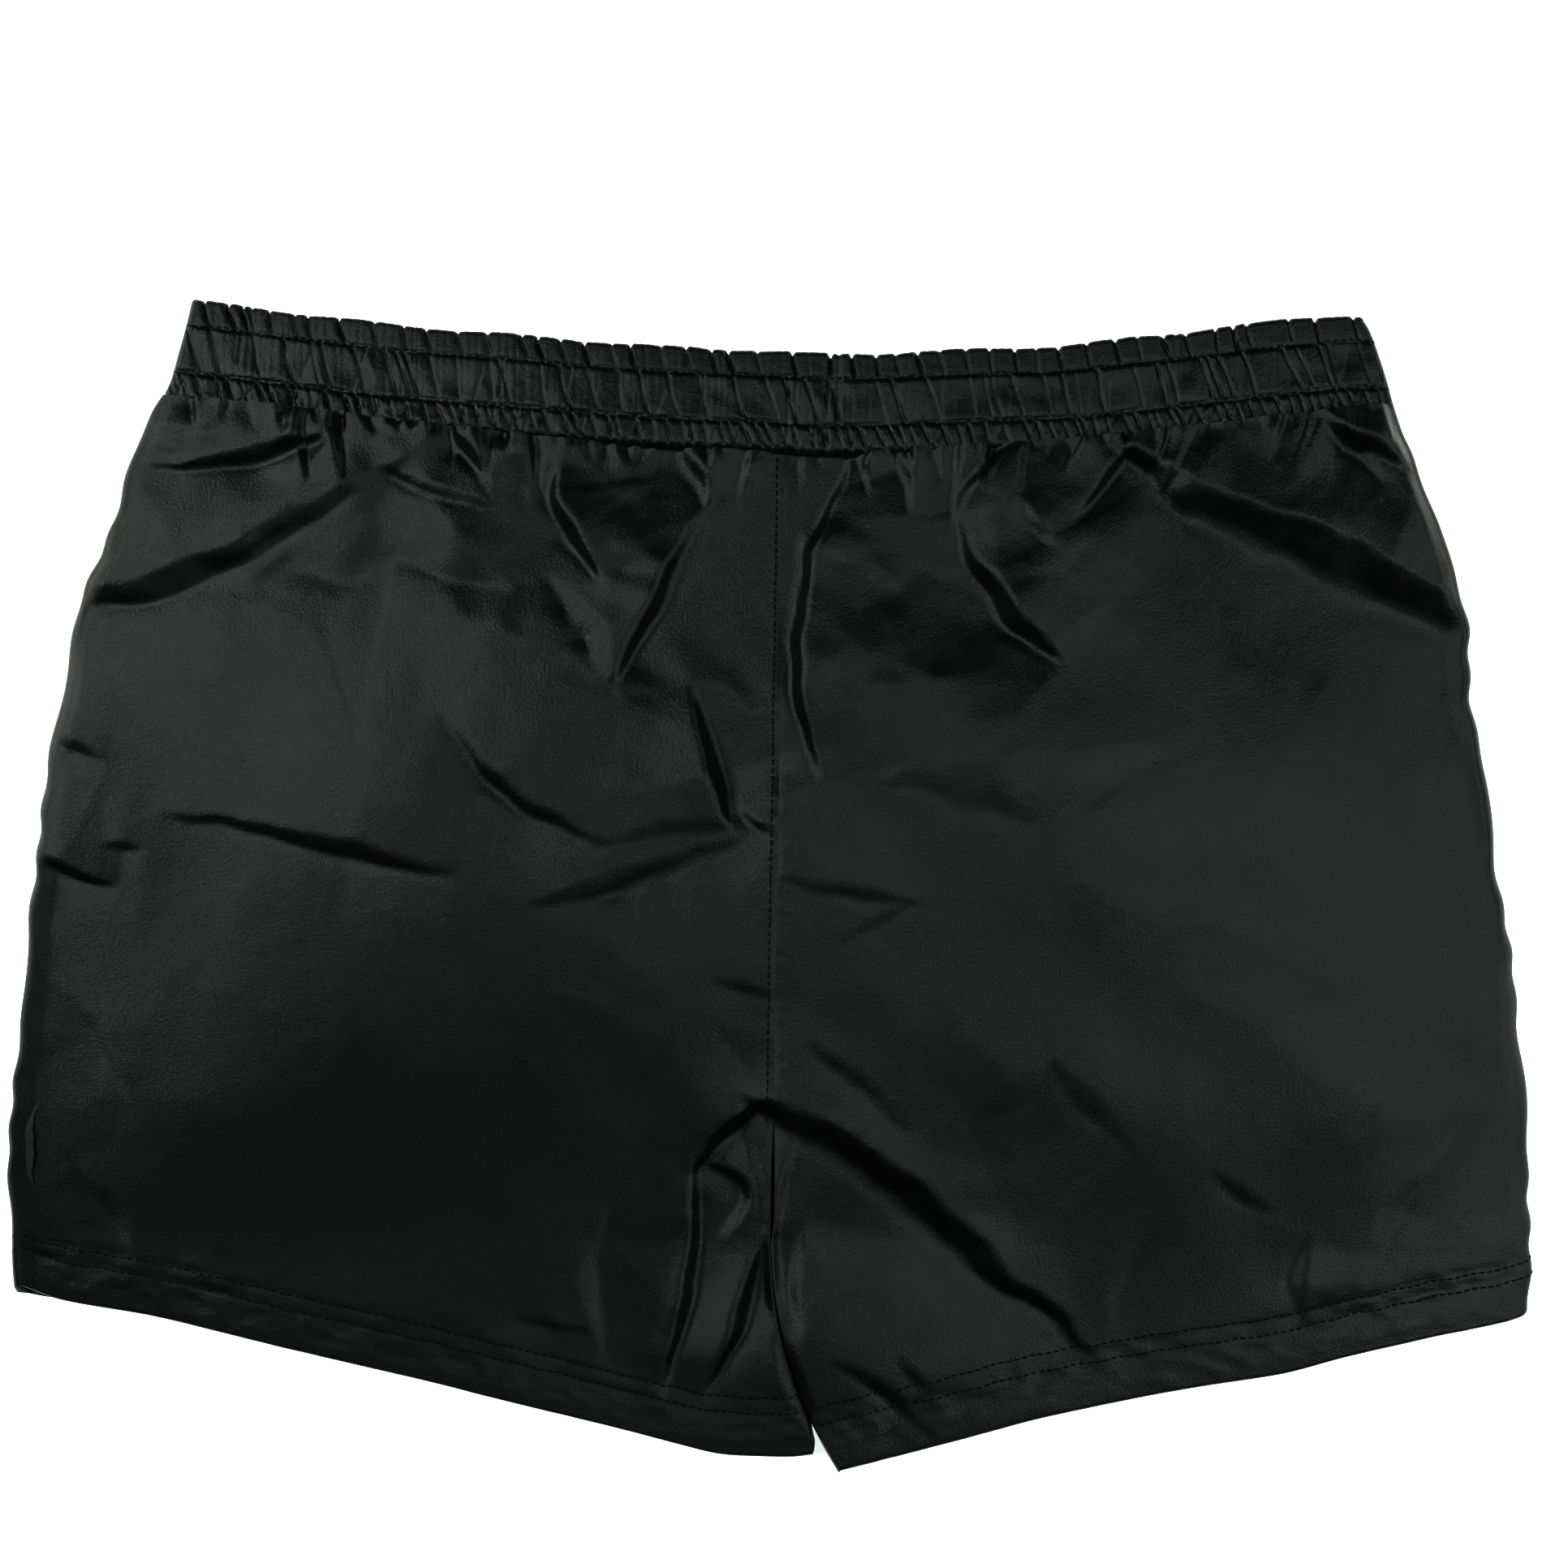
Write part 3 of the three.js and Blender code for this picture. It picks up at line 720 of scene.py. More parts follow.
def row_y(leg, across, down):
    """How far up a point lies: across 0 is the inner edge, down 0 the waist seam and 1 the hem."""
    tip, corner = LEGS[leg]["tip"], LEGS[leg]["corner"]
    sign = LEGS[leg]["sign"]
    top_x = SEAM_X + (sign * SEAT_HALF - SEAM_X) * across
    hem_x = tip[0] + (corner[0] - tip[0]) * across
    top_y = waist_seam(top_x)
    hem_y = LEGS[leg]["hem"](hem_x)
    blend = np.clip(down, 0, 1)
    straight = top_y + (hem_y - top_y) * blend
    # rows at the inner edge keep to one spacing for both legs down to the crotch
    shared = waist_seam(SEAM_X) + (SHARED_END - waist_seam(SEAM_X)) * blend
    own = waist_seam(SEAM_X) + (LEGS[leg]["hem"](tip[0]) - waist_seam(SEAM_X)) * blend
    fix = (shared - own) * (1 - smoothstep((blend - 0.72) / 0.28))
    return straight + fix * (1 - across) ** 2


def cloth_point(leg, layer, across, down, depth=0.0, seam_shift=0.0):
    """A point of a panel in millimetres; depth is how far it lies inside the outer face."""
    sign = LEGS[leg]["sign"]
    y = row_y(leg, across, down)
    y_side = row_y(leg, np.ones_like(across), down)
    y_inner = row_y(leg, np.zeros_like(across), down)
    height = lying_height(y)
    side_x = side_edge(leg, y_side)
    inner_x = inner_edge(leg, y_inner)
    inner_roll = HALF_TURN * smoothstep((CROTCH_Y + FOLD_FADE - y) / FOLD_FADE)
    radius = height / 2
    flat = np.abs(side_x - inner_x) - radius * (SIDE_SQUEEZE + INNER_SQUEEZE * np.sin(inner_roll))
    total = flat + radius * HALF_TURN + radius * inner_roll
    shift = seam_shift if np.ndim(seam_shift) else np.full_like(across, seam_shift)
    run = shift + (total - shift) * (1 - across)
    passed = np.clip(-run, 0, None)
    run_here = np.abs(run)
    x_out, z_out = section(run_here, side_x, -sign, height, HALF_TURN, depth, SIDE_SQUEEZE)
    x_in, z_in = section(total - run_here, inner_x, sign, height, inner_roll, depth, INNER_SQUEEZE)
    use_in = run_here > total / 2
    x = np.where(use_in, x_in, x_out)
    z = np.where(use_in, z_in, z_out)
    from_side = smoothstep((run_here - radius * 1.2) / 9)
    rolled = inner_roll / HALF_TURN
    from_inner = 1 - rolled * (1 - smoothstep((total - run_here - radius * 1.4) / 5))
    loose = from_side * from_inner
    top = z + look_up(relief, x, y) * loose
    bottom = height - z + look_up(front_relief, x, y) * loose
    is_back = (passed > 0) if layer == "front" else (passed == 0)
    z = np.where(is_back, top, bottom)
    return x, y, z, total * across


# %% [markdown]
# ## Panels
# Each panel is one sheet. It starts as a plain grid, and every point of the grid is then moved to
# its place: across the leg, down to the hem, round the hem's fold and back up inside, to just past
# the upper row of stitches. No cloth simulation is run. The folds of these very shorts each have
# their own place, so the points are moved by the maps above instead.

# %% Grids into cloth
HEM_TURN = 25.0
HEM_RADIUS = 0.55


def cloth_mesh(name, columns, rows, place, material, flip=False):
    """A grid of columns by rows whose points place() moves; returns the finished object."""
    bm = bmesh.new()
    bmesh.ops.create_grid(bm, x_segments=columns, y_segments=rows, size=0.5)
    if flip:
        bmesh.ops.reverse_faces(bm, faces=bm.faces)
    mesh = bpy.data.meshes.new(name)
    bm.to_mesh(mesh)
    bm.free()
    flat = np.zeros(len(mesh.vertices) * 3)
    mesh.vertices.foreach_get("co", flat)
    flat = flat.reshape(-1, 3)
    x, y, z, u, v = place(flat[:, 0] + 0.5, flat[:, 1] + 0.5)
    mesh.vertices.foreach_set("co", (np.stack([x, y, z], 1) * MM).ravel())
    corner = np.zeros(len(mesh.loops), np.int32)
    mesh.loops.foreach_get("vertex_index", corner)
    layer = mesh.uv_layers.new(name="cloth")
    layer.data.foreach_set("uv", (np.stack([u, v], 1)[corner] * MM).ravel())
    mesh.polygons.foreach_set("use_smooth", [True] * len(mesh.polygons))
    mesh.materials.append(material)
    mesh.update()
    made = link(bpy.data.objects.new(name, mesh))
    print(name, len(mesh.polygons), "faces")
    return made


def area_of(obj):
    """The area of a piece's faces, in square metres."""
    sizes = np.zeros(len(obj.data.polygons))
    obj.data.polygons.foreach_get("area", sizes)
    return float(sizes.sum())


# %% Panels
LEG_LENGTH = 370.0
SHIFT_DEPTH = 9.0


def seam_shift(leg, y):
    """How far the side seam has rolled over onto the back."""
    if leg == "left":
        return (SHIFT_DEPTH + 1.5 * np.sin(y / 31.0)) * smoothstep((30 - y) / 90)
    return 2.0 * smoothstep((60 - y) / 90)


def panel_place(leg, layer):
    """Where each point of a panel's grid goes, with its distances along the cloth."""
    def place(a, b):
        down_run = (1 - b) * (LEG_LENGTH + HEM_TURN)
        down = np.clip(down_run / LEG_LENGTH, 0, 1)
        past = np.clip(down_run - LEG_LENGTH, 0, None)
        turn_length = math.pi * HEM_RADIUS
        turn = np.clip(past / turn_length, 0, 1) * math.pi
        back_up = np.clip(past - turn_length, 0, None)
        inset = HEM_RADIUS - HEM_RADIUS * np.cos(turn)
        shift = seam_shift(leg, row_y(leg, np.ones_like(a), down))
        # the inner leaf follows the outer one, a fold's thickness inside it
        up = back_up / LEG_LENGTH
        x, y, z, u = cloth_point(leg, layer, a, np.clip(down - up, 0, 1), depth=inset,
                                 seam_shift=shift if layer == "back" else -shift)
        y = y - HEM_RADIUS * np.sin(turn)
        return x, y, z, u, -down_run

    return place


panels = {}
for leg in LEGS:
    for layer in ("back", "front"):
        columns, rows = (236, 330) if layer == "back" else (118, 165)
        outward = (leg == "right") == (layer == "back")
        panel = cloth_mesh(f"{layer}_cloth_{leg}", columns, rows, panel_place(leg, layer), nylon,
                           flip=not outward)
        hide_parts(f"{layer}_panel_{leg}", f"leg_hem_{layer}_{leg}")
        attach(panel, "root")
        panels[layer, leg] = panel
        print("   area", round(area_of(panel) * 1e4), "cm2")


# %% [markdown]
# ## The ruched waistband
# The casing is a tunnel of the same nylon, folded over a wide elastic and stitched through in three
# rows. The elastic was stretched while it was sewn, so the nylon between the rows now stands in
# puffs, cut by thin creases that run from row to row. Close rows make small tight creases, and the
# wide middle channel makes long ones. The pattern is another height map, along the band and down it.

# %% A map along the band
ROW_DEPTHS = (10.0, 27.5, 37.2)
BAND_STEP = 0.4
band_x = np.arange(-246, 246.1, BAND_STEP)
band_d = np.arange(-1, 44.1, BAND_STEP)
BX, BD = np.meshgrid(band_x, band_d)


def look_up_band(field, x, depth):
    return read_map(field, x, depth, band_x[0], band_d[0], BAND_STEP)


def band_noise(size, stretch=1.0):
    """Soft noise along the band; stretch above 1 draws it out from row to row."""
    rows, columns = BX.shape
    fy = np.fft.fftfreq(rows, BAND_STEP)[:, None] * size * stretch
    fx = np.fft.fftfreq(columns, BAND_STEP)[None, :] * size
    weight = np.exp(-(fx ** 2 + fy ** 2) * 4.0)
    field = np.fft.ifft2(np.fft.fft2(rng.standard_normal(BX.shape)) * weight).real
    return field / field.std()


def pleats(spacing, spread, lean, wander, deep, crown=0.5):
    """Flat puffs between thin creases, some deep and some faint, with uneven widths and tilts."""
    gaps = np.clip(rng.normal(spacing, spread, 260), 0.35 * spacing, 3 * spacing)
    places = -262 + np.cumsum(gaps)
    count = np.arange(len(places))
    tilt = rng.normal(0, 0.35, len(places))
    strength = deep * (0.25 + 0.75 * rng.random(len(places)))
    shifted = BX + lean * (BD - 20) + wander * band_noise(12, 1.6)
    index = np.interp(shifted, places, count)
    cell = np.clip(np.floor(index).astype(int), 0, len(places) - 2)
    share = index - cell
    gap = places[cell + 1] - places[cell]
    to_crease = np.minimum(share, 1 - share) * gap
    crease = np.where(share < 0.5, strength[cell], strength[cell + 1])
    puff = crown * (1 - (2 * share - 1) ** 4) + tilt[cell] * (share - 0.5)
    return puff - crease * np.exp(-((to_crease / 0.45) ** 2))


# %% The three channels
BAND_DEEPEST = -1.3


def channel(top, bottom, bulge, ruche, power=7):
    """Adds one channel's puff between two rows of stitches."""
    share = np.clip((BD - top) / (bottom - top), 0, 1)
    open_part = 1 - np.abs(2 * share - 1) ** power
    return open_part * (bulge + ruche)


def ruched_band():
    """The height map of one half of the band, in millimetres."""
    share_2 = np.clip((BD - ROW_DEPTHS[0]) / (ROW_DEPTHS[1] - ROW_DEPTHS[0]), 0, 1)
    toward_rows = 0.45 + 0.55 * np.abs(2 * share_2 - 1) ** 1.3
    frill = 1 + 0.5 * np.exp(-(((BX + 165) / 45) ** 2)) * smoothstep((BD - 20) / 6)
    top = channel(-9, ROW_DEPTHS[0], 0.6, pleats(8.8, 3.6, -0.25, 0.8, 2.2, 0.3), 16)
    mottle = 0.30 * band_noise(9) + 0.25 * creased(band_noise(8, 1.4))
    middle = channel(ROW_DEPTHS[0], ROW_DEPTHS[1], 0.9,
                     toward_rows * pleats(8.5, 3.8, -0.3, 1.0, 2.0, 0.3)
                     + 0.3 * pleats(19, 8, 0.15, 1.5, 2.2, 0.4) + mottle, 18)
    low = channel(ROW_DEPTHS[1], ROW_DEPTHS[2], 0.8,
                  pleats(4.6, 1.8, -0.4, 1.0, 1.4, 0.4) + 0.4 * pleats(9.5, 4, 0.5, 1.5, 1.8, 0.4)
                  + 0.25 * creased(band_noise(4)))
    made = top * (BD < ROW_DEPTHS[0]) + middle * (BD >= ROW_DEPTHS[0]) * (BD < ROW_DEPTHS[1])
    made = made + low * frill * (BD >= ROW_DEPTHS[1])
    for row in ROW_DEPTHS:
        made = made - 0.20 * np.exp(-(((BD - row) / 0.5) ** 2))
    made += 0.15 * pleats(3.0, 0.5, 0, 0.4, 1.0, 0.2) + 0.03 * band_noise(2.2)
    # the folds that cross the whole band, and the join of the tunnel's two ends
    for place, lean, deep in ((19.5, 0.06, 1.3), (23.5, 0.02, 1.0), (-108, -0.1, 0.9), (150, 0.1, 0.8)):
        line = np.exp(-(((BX - place + lean * (BD - 20)) / 0.9) ** 2))
        made -= deep * line * np.clip(0.4 + BD / 12, 0, 1)
    made -= 1.0 * np.exp(-(((BX - 4.5) / 0.8) ** 2)) * (BD > 9)
    return np.maximum(made, BAND_DEEPEST)


band_back, band_front = ruched_band(), ruched_band()
print("band relief from", round(band_back.min(), 1), "to", round(band_back.max(), 1), "mm")

# %% [markdown]
# ## The casing's shape
# Each half of the casing is one grid. Down the grid it goes up the outside, over the top edge and
# down the inside; along the grid it follows the band, and both ends turn down to meet the other half.

# %% Casing
CASING_RADIUS = 1.9
BAND_LENGTH = 38.6


def band_point(layer, across, depth_down, inside):
    """A point of the casing. across is 0 to 1 from left to right; inside is the offset inwards."""
    pleat_map = band_back if layer == "back" else band_front
    radius = BAND_HEIGHT / 2
    edge_y = waist_line(-226 + 452 * across) - depth_down * (1 + 0.02 * (depth_down / 38) ** 2)
    left = side_left(np.clip(waist_line(-224) - depth_down, 186, 221))
    right = side_right(np.clip(waist_line(224) - depth_down, 187, 222))
    total = (right - left) - 2 * radius * SIDE_SQUEEZE + math.pi * radius
    run = total * across
    x_left, z_left = section(run, left, 1, BAND_HEIGHT, HALF_TURN, inside)
    x_right, z_right = section(total - run, right, -1, BAND_HEIGHT, HALF_TURN, inside)
    x = np.where(across < 0.5, x_left, x_right)
    z = np.where(across < 0.5, z_left, z_right)
    from_end = smoothstep((np.minimum(run, total - run) - 3) / (radius + 4))
    puff = look_up_band(pleat_map, x, depth_down)
    scallop = 0.9 * (look_up_band(pleat_map, x, 3.0) - 1.0) * np.exp(-depth_down / 4)
    scallop = scallop + 0.5 * np.sin(x / 9.0) * np.exp(-depth_down / 6)
    return x, edge_y + scallop, z, puff, from_end, run


EYELETS = []
for side in ("left", "right"):
    low, high = node_box(f"drawcord_eyelet_{side}")
    EYELETS.append(((low[0] + high[0]) / 2, (low[1] + high[1]) / 2))


def flat_at_eyelets(x, y, height):
    """Heights pressed flat to half a millimetre where an eyelet clamps the cloth."""
    for eyelet_x, eyelet_y in EYELETS:
        clamped = smoothstep((8.5 - np.hypot(x - eyelet_x, y - eyelet_y)) / 3.5)
        height = height * (1 - clamped) + 0.5 * clamped
    return height


def underside(puff):
    """How high the lower cloth stands off the floor: least where it puffs out most towards it."""
    return np.clip(2.4 - puff, 0.05, 3.4) * 0.5


def casing_place(layer):
    """Where each point of a casing's grid goes, with its distances along the cloth."""
    turn_length = math.pi * CASING_RADIUS

    def place(a, b):
        path = (1 - b) * (2 * BAND_LENGTH + turn_length)
        down = np.where(path < BAND_LENGTH, BAND_LENGTH - path, 0)
        turn = np.clip((path - BAND_LENGTH) / turn_length, 0, 1) * math.pi
        inner = np.clip(path - BAND_LENGTH - turn_length, 0, None)
        down = down + inner
        inside = CASING_RADIUS * (1 - np.cos(turn))
        x, y, z, puff, loose, run = band_point(layer, a, down, inside)
        y = y + CASING_RADIUS * (np.sin(turn) - 1) * np.where(turn > 0, 1, np.exp(-down / 5))
        share = np.cos(turn)
        lift = np.where(share > 0, 0.25 + 0.75 * share, 0.25)
        tuck = 1.5 * smoothstep((down - 37.2) / 1.4)
        if layer == "back":
            z = z + (puff * lift - 0.9) * loose - tuck * (turn == 0) * loose
        else:
            relief_below = underside(puff) * lift * loose
            pressed = flat_at_eyelets(x, y, relief_below)
            z = BAND_HEIGHT - z + np.where(turn == 0, pressed, relief_below)
        return x, y, z, run, -path

    return place


HOLE_RADIUS = 2.3
OUTER_LAYER = 2.5


def cut_holes(casing):
    """Takes the cloth out of the two eyelet holes, in the outer layer only."""
    bm = bmesh.new()
    bm.from_mesh(casing.data)
    gone = []
    for face in bm.faces:
        place = face.calc_center_median() / MM
        from_eyelet = min(math.hypot(place.x - x, place.y - y) for x, y in EYELETS)
        if from_eyelet < HOLE_RADIUS and place.z < OUTER_LAYER:
            gone.append(face)
    bmesh.ops.delete(bm, geom=gone, context="FACES")
    bm.to_mesh(casing.data)
    bm.free()
    print("eyelet holes take", len(gone), "faces")


casings = {}
for layer in ("back", "front"):
    columns, rows = (880, 104) if layer == "back" else (420, 60)
    casing = cloth_mesh(f"casing_{layer}_cloth", columns, rows, casing_place(layer), nylon,
                        flip=layer == "front")
    if layer == "front":
        cut_holes(casing)
    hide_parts(f"waistband_casing_{layer}")
    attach(casing, "root")
    casings[layer] = casing

# %% [markdown]
# ## Stitches
# A lockstitch shows as a row of short thread bars, each dipping into the cloth at both ends. One
# small rounded bar is made for each stitch and laid along its row, with the height of the cloth
# under it, so the stitches rise and fall with the puckers.

# %% Rows of thread
STITCH = 3.1
THREAD = 0.36


def lay_stitches(name, rows, nodes):
    """One piece of thread bars. Each row is a list of points in millimetres along its line."""
    bm = bmesh.new()
    for points in rows:
        points = np.array(points, float)
        lengths = np.concatenate([[0], np.cumsum(np.linalg.norm(np.diff(points, axis=0), axis=1))])
        count = max(int(lengths[-1] / STITCH), 1)
        ends = np.linspace(0, lengths[-1], count + 1)
        for start, stop in zip(ends[:-1], ends[1:]):
            a, b = (np.array([np.interp(start + (stop - start) * t, lengths, points[:, k])
                              for k in range(3)]) for t in (0.12, 0.88))
            middle = (a + b) / 2
            ahead = Vector(b - a)
            turn = ahead.to_track_quat("X", "Z").to_matrix().to_4x4()
            size = Matrix.Diagonal((ahead.length * 0.55 * MM, THREAD * MM, THREAD * 0.8 * MM, 1))
            where = Matrix.Translation(Vector(middle) * MM)
            bmesh.ops.create_icosphere(bm, subdivisions=1, radius=1.0, matrix=where @ turn @ size)
    for face in bm.faces:
        face.smooth = True
    mesh = bpy.data.meshes.new(name)
    bm.to_mesh(mesh)
    bm.free()
    mesh.materials.append(black_thread)
    made = link(bpy.data.objects.new(name, mesh))
    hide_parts(*nodes)
    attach(made, "root")
    print(name, len(mesh.polygons), "faces")
    return made


def band_row(layer, depth):
    """A row of stitches along the casing, from end to end."""
    a = np.linspace(0.012, 0.988, 900)
    down = depth + 0.35 * np.sin(a * 90) + 0.2 * np.sin(a * 213)
    x, y, z, puff, loose, run = band_point(layer, a, down, 0.0)
    if layer == "back":
        z = z + (puff - 0.9) * loose + 0.22
    else:
        z = BAND_HEIGHT - z + underside(puff) * loose - 0.1
    return np.stack([x, y, z], 1)


for number, depth in enumerate(ROW_DEPTHS, 1):
    rows = [band_row("back", depth), band_row("front", depth)]
    lay_stitches(f"waist_thread_row_{number}", rows, [f"waist_stitch_row_{number}"])


# %% Hem rows and the centre seam's row
def panel_row(leg, layer, gauge):
    """A row of stitches along a hem, gauge millimetres above its edge."""
    a = np.linspace(0.004, 0.996, 500)
    down = np.full_like(a, 1 - gauge / LEG_LENGTH)
    shift = seam_shift(leg, row_y(leg, np.ones_like(a), down))
    x, y, z, run = cloth_point(leg, layer, a, down, seam_shift=shift if layer == "back" else -shift)
    top = z + (0.20 if layer == "back" else -0.05)
    return np.stack([x, y + 0.25 * np.sin(a * 120), top], 1)


for leg in LEGS:
    for label, gauge in zip(("upper", "lower"), HEM_ROWS):
        rows = [panel_row(leg, "back", gauge), panel_row(leg, "front", gauge)]
        lay_stitches(f"hem_thread_{label}_{leg}", rows,
                                               [f"hem_stitch_{label}_{leg}"])
TOPSTITCH_INSET = 2.6
CENTRE_LENGTH = 383.5
seam_down = np.linspace(0.004, (waist_seam(SEAM_X) - CROTCH_Y + 20) / CENTRE_LENGTH, 400)
seam_x, y, z, run = cloth_point("left", "back", np.zeros_like(seam_down), seam_down)
x = seam_x - TOPSTITCH_INSET
z = z + look_up(relief, x, y) - look_up(relief, seam_x, y) + 0.2
lay_stitches("centre_thread", [np.stack([x, y, z], 1)], ["centre_back_topstitch"])


# %% [markdown]
# ## Inside the shorts
# What is inside shows through the waist and the leg openings, and it gives the part its layers: the
# ribbed elastic in its tunnel, the trimmed edges of the seams, the two pocket bags and the label.
# They are made as the panels are, from grids whose points are moved to their places.

# %% Elastic
RIB_PITCH = 1.3 * MM
LINE_PITCH = 2.0 * MM


def elastic_material():
    """Woven elastic: dull polyester with a rib every 1.3 mm and rubber between them."""
    made, tree = new_material("woven_elastic")
    uv = uv_map(tree)
    along, across = x_and_y(tree, uv)
    ribs = (along * (2 * math.pi / RIB_PITCH)).sin()
    lines = (across * (2 * math.pi / LINE_PITCH)).sin()
    fuzz = clouds(tree, uv, 1500.0, 3.0)
    base = mix(tree, 0.5 + 0.25 * ribs + 0.25 * fuzz, (0.011, 0.011, 0.012, 1), (0.035, 0.035, 0.036, 1))
    height = 0.5 * ribs + 0.2 * lines + 0.5 * fuzz
    finish_material(tree, {"Base Color": base, "Roughness": 0.8 - 0.1 * fuzz,
                           "Normal": bump(tree, 0.7, 0.25 * MM, height), "Sheen Weight": 0.15})
    return made


ELASTIC_TOP, ELASTIC_BOTTOM = 2.2, 36.4
elastic_finish = elastic_material()
elastics = {}
for layer in ("back", "front"):
    def elastic_place(a, b):
        down = ELASTIC_BOTTOM + (ELASTIC_TOP - ELASTIC_BOTTOM) * b
        x, y, z, puff, loose, run = band_point(layer, 0.006 + 0.988 * a, down, 2.3)
        ripple = 0.25 * np.sin(run / 1.9) * loose
        z = z - 0.9 * loose + ripple
        return x, y, z if layer == "back" else BAND_HEIGHT - z, run, down

    elastic = cloth_mesh(f"elastic_{layer}", 480, 16, elastic_place, elastic_finish, flip=layer == "front")
    wall = elastic.modifiers.new("thickness", "SOLIDIFY")
    wall.thickness = 0.9 * MM
    wall.offset = 0
    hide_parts(f"waist_elastic_{layer}")
    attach(elastic, "root")
    elastics[layer] = elastic


# %% Seam allowances
ALLOWANCE = 8.0


def strip(name, top, bottom, place, replaced, rows=150):
    """A trimmed seam edge from y top to y bottom; place(y, across) gives x and z."""
    def strip_place(a, b):
        y = bottom + (top - bottom) * b
        fray = 0.25 * np.sin(y * 1.9) + 0.2 * np.sin(y * 0.63)
        x, z = place(y, ALLOWANCE * a + fray * a)
        return x, y, z, ALLOWANCE * a, y

    made = cloth_mesh(name, 7, rows, strip_place, nylon_inside)
    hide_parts(replaced)
    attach(made, "root")
    return made


for leg in LEGS:
    sign = LEGS[leg]["sign"]

    def side_place(y, across):
        shift = seam_shift(leg, y)
        x, z = section(shift + 0.3, side_edge(leg, y), -sign, lying_height(y), HALF_TURN, 0.6)
        curl = 0.10 * across ** 1.6 * np.sin(y / 23)
        return x - sign * across, z - 0.25 * across + curl

    def inseam_place(y, across):
        wave = 0.5 * np.sin(y / 9) * across / ALLOWANCE
        return inner_edge(leg, y) + sign * (0.6 + across), lying_height(y) / 2 + wave

    strip(f"side_allowance_{leg}", 182, -132, side_place,
                                    f"side_seam_allowance_{leg}")
    strip(f"inseam_allowance_edge_{leg}", -131, -192, inseam_place,
                                      f"inseam_allowance_{leg}", rows=40)


def centre_back_place(y, across):
    x = middle_line(y) - 0.6 + across
    return x, lying_height(y) + look_up(relief, x, y) - 0.6 - 0.08 * across


def centre_front_place(y, across):
    x = middle_line(y) - 0.6 + across
    return x, look_up(front_relief, x, y) + 0.5 + 0.08 * across


strip("centre_back_allowance", 166, -74, centre_back_place,
                                     "centre_back_seam_allowance")
strip("centre_front_allowance", 166, -74, centre_front_place,
                                      "centre_front_seam_allowance")

# %% [markdown]
# ## Pocket bags
# A pocket is two layers of lining sewn together round three sides and open at the side seam. The
# grid runs in along the top layer, round the inner edge, and back along the lower one. Its top
# and bottom rows are pinched together, which is what the sewn edges do.

# %% Pocket bags
POCKET_TOP, POCKET_BOTTOM = 160.0, 35.0
BAG_TOP, BAG_BOTTOM = 163.0, 12.0
BAG_REACH = 148.0
pockets = {}
for leg in LEGS:
    sign = LEGS[leg]["sign"]

    def pocket_place(a, b):
        inward = 1 - np.abs(2 * a - 1)
        upper = a < 0.5
        t = 1 - b
        mouth_y = POCKET_TOP + (POCKET_BOTTOM - POCKET_TOP) * t
        bag_y = BAG_TOP + (BAG_BOTTOM - BAG_TOP) * t
        y = mouth_y + (bag_y - mouth_y) * smoothstep(inward / 0.22)
        corner = np.clip((np.abs(2 * t - 1) - 0.72) / 0.28, 0, 1)
        reach = BAG_REACH * (1 - 0.16 * (1 - np.sqrt(1 - 0.999 * corner ** 2)))
        x = side_edge(leg, mouth_y) - sign * (5.5 + (reach - 5.5) * inward)
        pinch = np.clip(1 - np.abs(2 * t - 1) ** 10, 0, 1) ** 0.5 * np.clip(1 - inward ** 14, 0, 1) ** 0.5
        bellows = 1.3 + 0.25 * np.sin(x / 13) + 0.2 * np.sin(y / 11 + x / 21)
        middle = lying_height(y) / 2 - 1.6 + 0.4 * np.sin(x / 17 + y / 29)
        z = middle + np.where(upper, 1, -1) * bellows * pinch
        return x, y, z, a * 300, y

    bag = cloth_mesh(f"pocket_bag_cloth_{leg}", 120, 70, pocket_place, nylon_inside, flip=leg == "left")
    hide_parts(f"pocket_bag_{leg}")
    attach(bag, "root")
    pockets[leg] = bag

# %% [markdown]
# ## Label
# The care label is a loop of satin ribbon, folded in half, with both ends caught in the waist seam.
# This one is blank. Satin has long floats along the ribbon, so its shine is streaky one way.

# %% Label
def satin_material():
    """White satin ribbon: long floats in the bump, a little dirt in the colour."""
    made, tree = new_material("label_satin")
    uv = uv_map(tree)
    drawn = node(tree, "ShaderNodeMapping", {}, {"Vector": uv, "Scale": (1.0, 0.06, 1.0)})
    floats = clouds(tree, drawn, 4200.0, 2.0)
    base = mix(tree, clouds(tree, uv, 60.0, 4.0), (0.70, 0.69, 0.66, 1), (0.80, 0.79, 0.77, 1))
    finish_material(tree, {"Base Color": base, "Roughness": 0.32 + 0.15 * floats,
                           "Normal": bump(tree, 0.4, 0.06 * MM, floats), "Sheen Weight": 0.1})
    return made


label_low, label_high = node_box("care_label")
LABEL_FOLD = 0.35
LABEL_SINK = 3.2


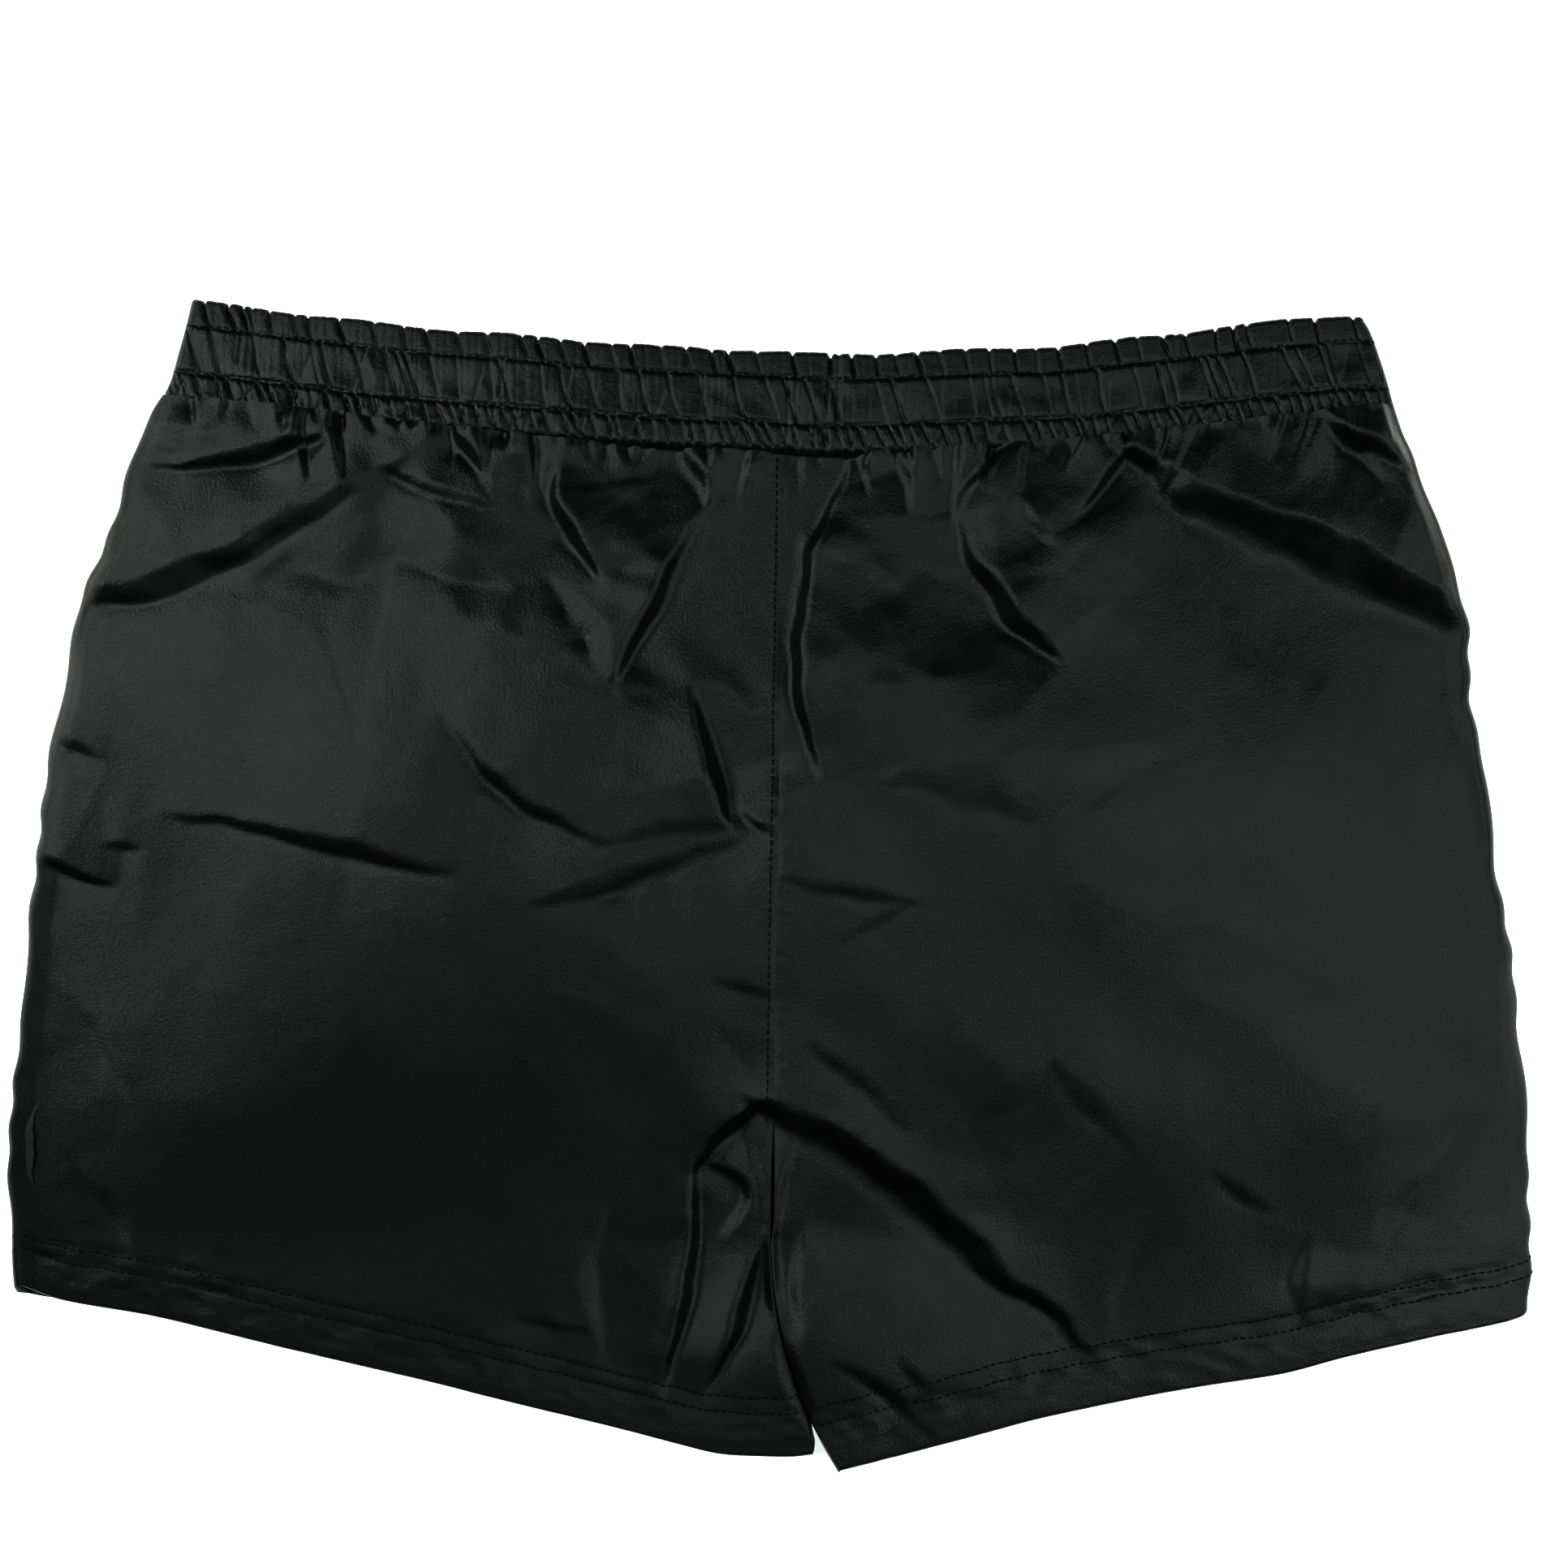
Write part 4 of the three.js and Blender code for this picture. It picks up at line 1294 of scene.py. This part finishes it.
def label_place(a, b):
    width = label_high[0] - label_low[0]
    length = label_high[1] - label_low[1]
    path = b * (2 * length)
    turn = np.clip((path - length + LABEL_FOLD) / (2 * LABEL_FOLD), 0, 1) * math.pi
    y = np.where(path < length, label_high[1] - path, label_low[1] + (path - length))
    x = label_low[0] + width * a + 0.2 * np.sin(y / 6)
    middle = (label_low[2] + label_high[2]) / 2
    curl = 0.9 * (1 - (y - label_low[1]) / length) ** 2 * np.sin((a - 0.2) * 2.4)
    z = middle + LABEL_FOLD * np.cos(turn) + curl - LABEL_SINK
    return x, y, z, width * a, path


label = cloth_mesh("label", 20, 60, label_place, satin_material(), flip=True)
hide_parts("care_label")
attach(label, "root")

# %% [markdown]
# ## Eyelets
# The two eyelets for a drawcord are turned metal with a clean shape in the frame, so their meshes
# stay as they are and only get a better finish: black lacquer, scuffed to a softer gloss.

# %% Eyelet finish
metal, tree = new_material("lacquered_eyelet")
place = object_place(tree)
scuffs = clouds(tree, place, 900.0, 6.0)
worn = node(tree, "ShaderNodeValToRGB", {"stops": [(0.62, (0, 0, 0, 1)), (0.70, (1, 1, 1, 1))]},
            {"Fac": clouds(tree, place, 260.0, 3.0)})
lacquer = mix(tree, worn, (0.018, 0.018, 0.02, 1), (0.30, 0.29, 0.27, 1))
finish_material(tree, {"Base Color": lacquer, "Metallic": 0.9, "Roughness": 0.28 + 0.25 * scuffs,
                       "Normal": bump(tree, 0.25, 0.05 * MM, scuffs)})
for side in ("left", "right"):
    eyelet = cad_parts[f"drawcord_eyelet_{side}"]
    eyelet.data.materials.clear()
    eyelet.data.materials.append(metal)
    print(eyelet.name, *(corner.round(1) for corner in node_box(eyelet.name)))

# %% [markdown]
# ## What each sheet was cut to
# ## The cloth pieces
# The loops below go over the panels, the casings, the elastics and the pocket bags, and leave
# them as they are.

# %% The cloth pieces, left as they are
for (layer, leg), panel in panels.items():
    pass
for layer, casing in casings.items():
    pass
for layer, elastic in elastics.items():
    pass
for leg, bag in pockets.items():
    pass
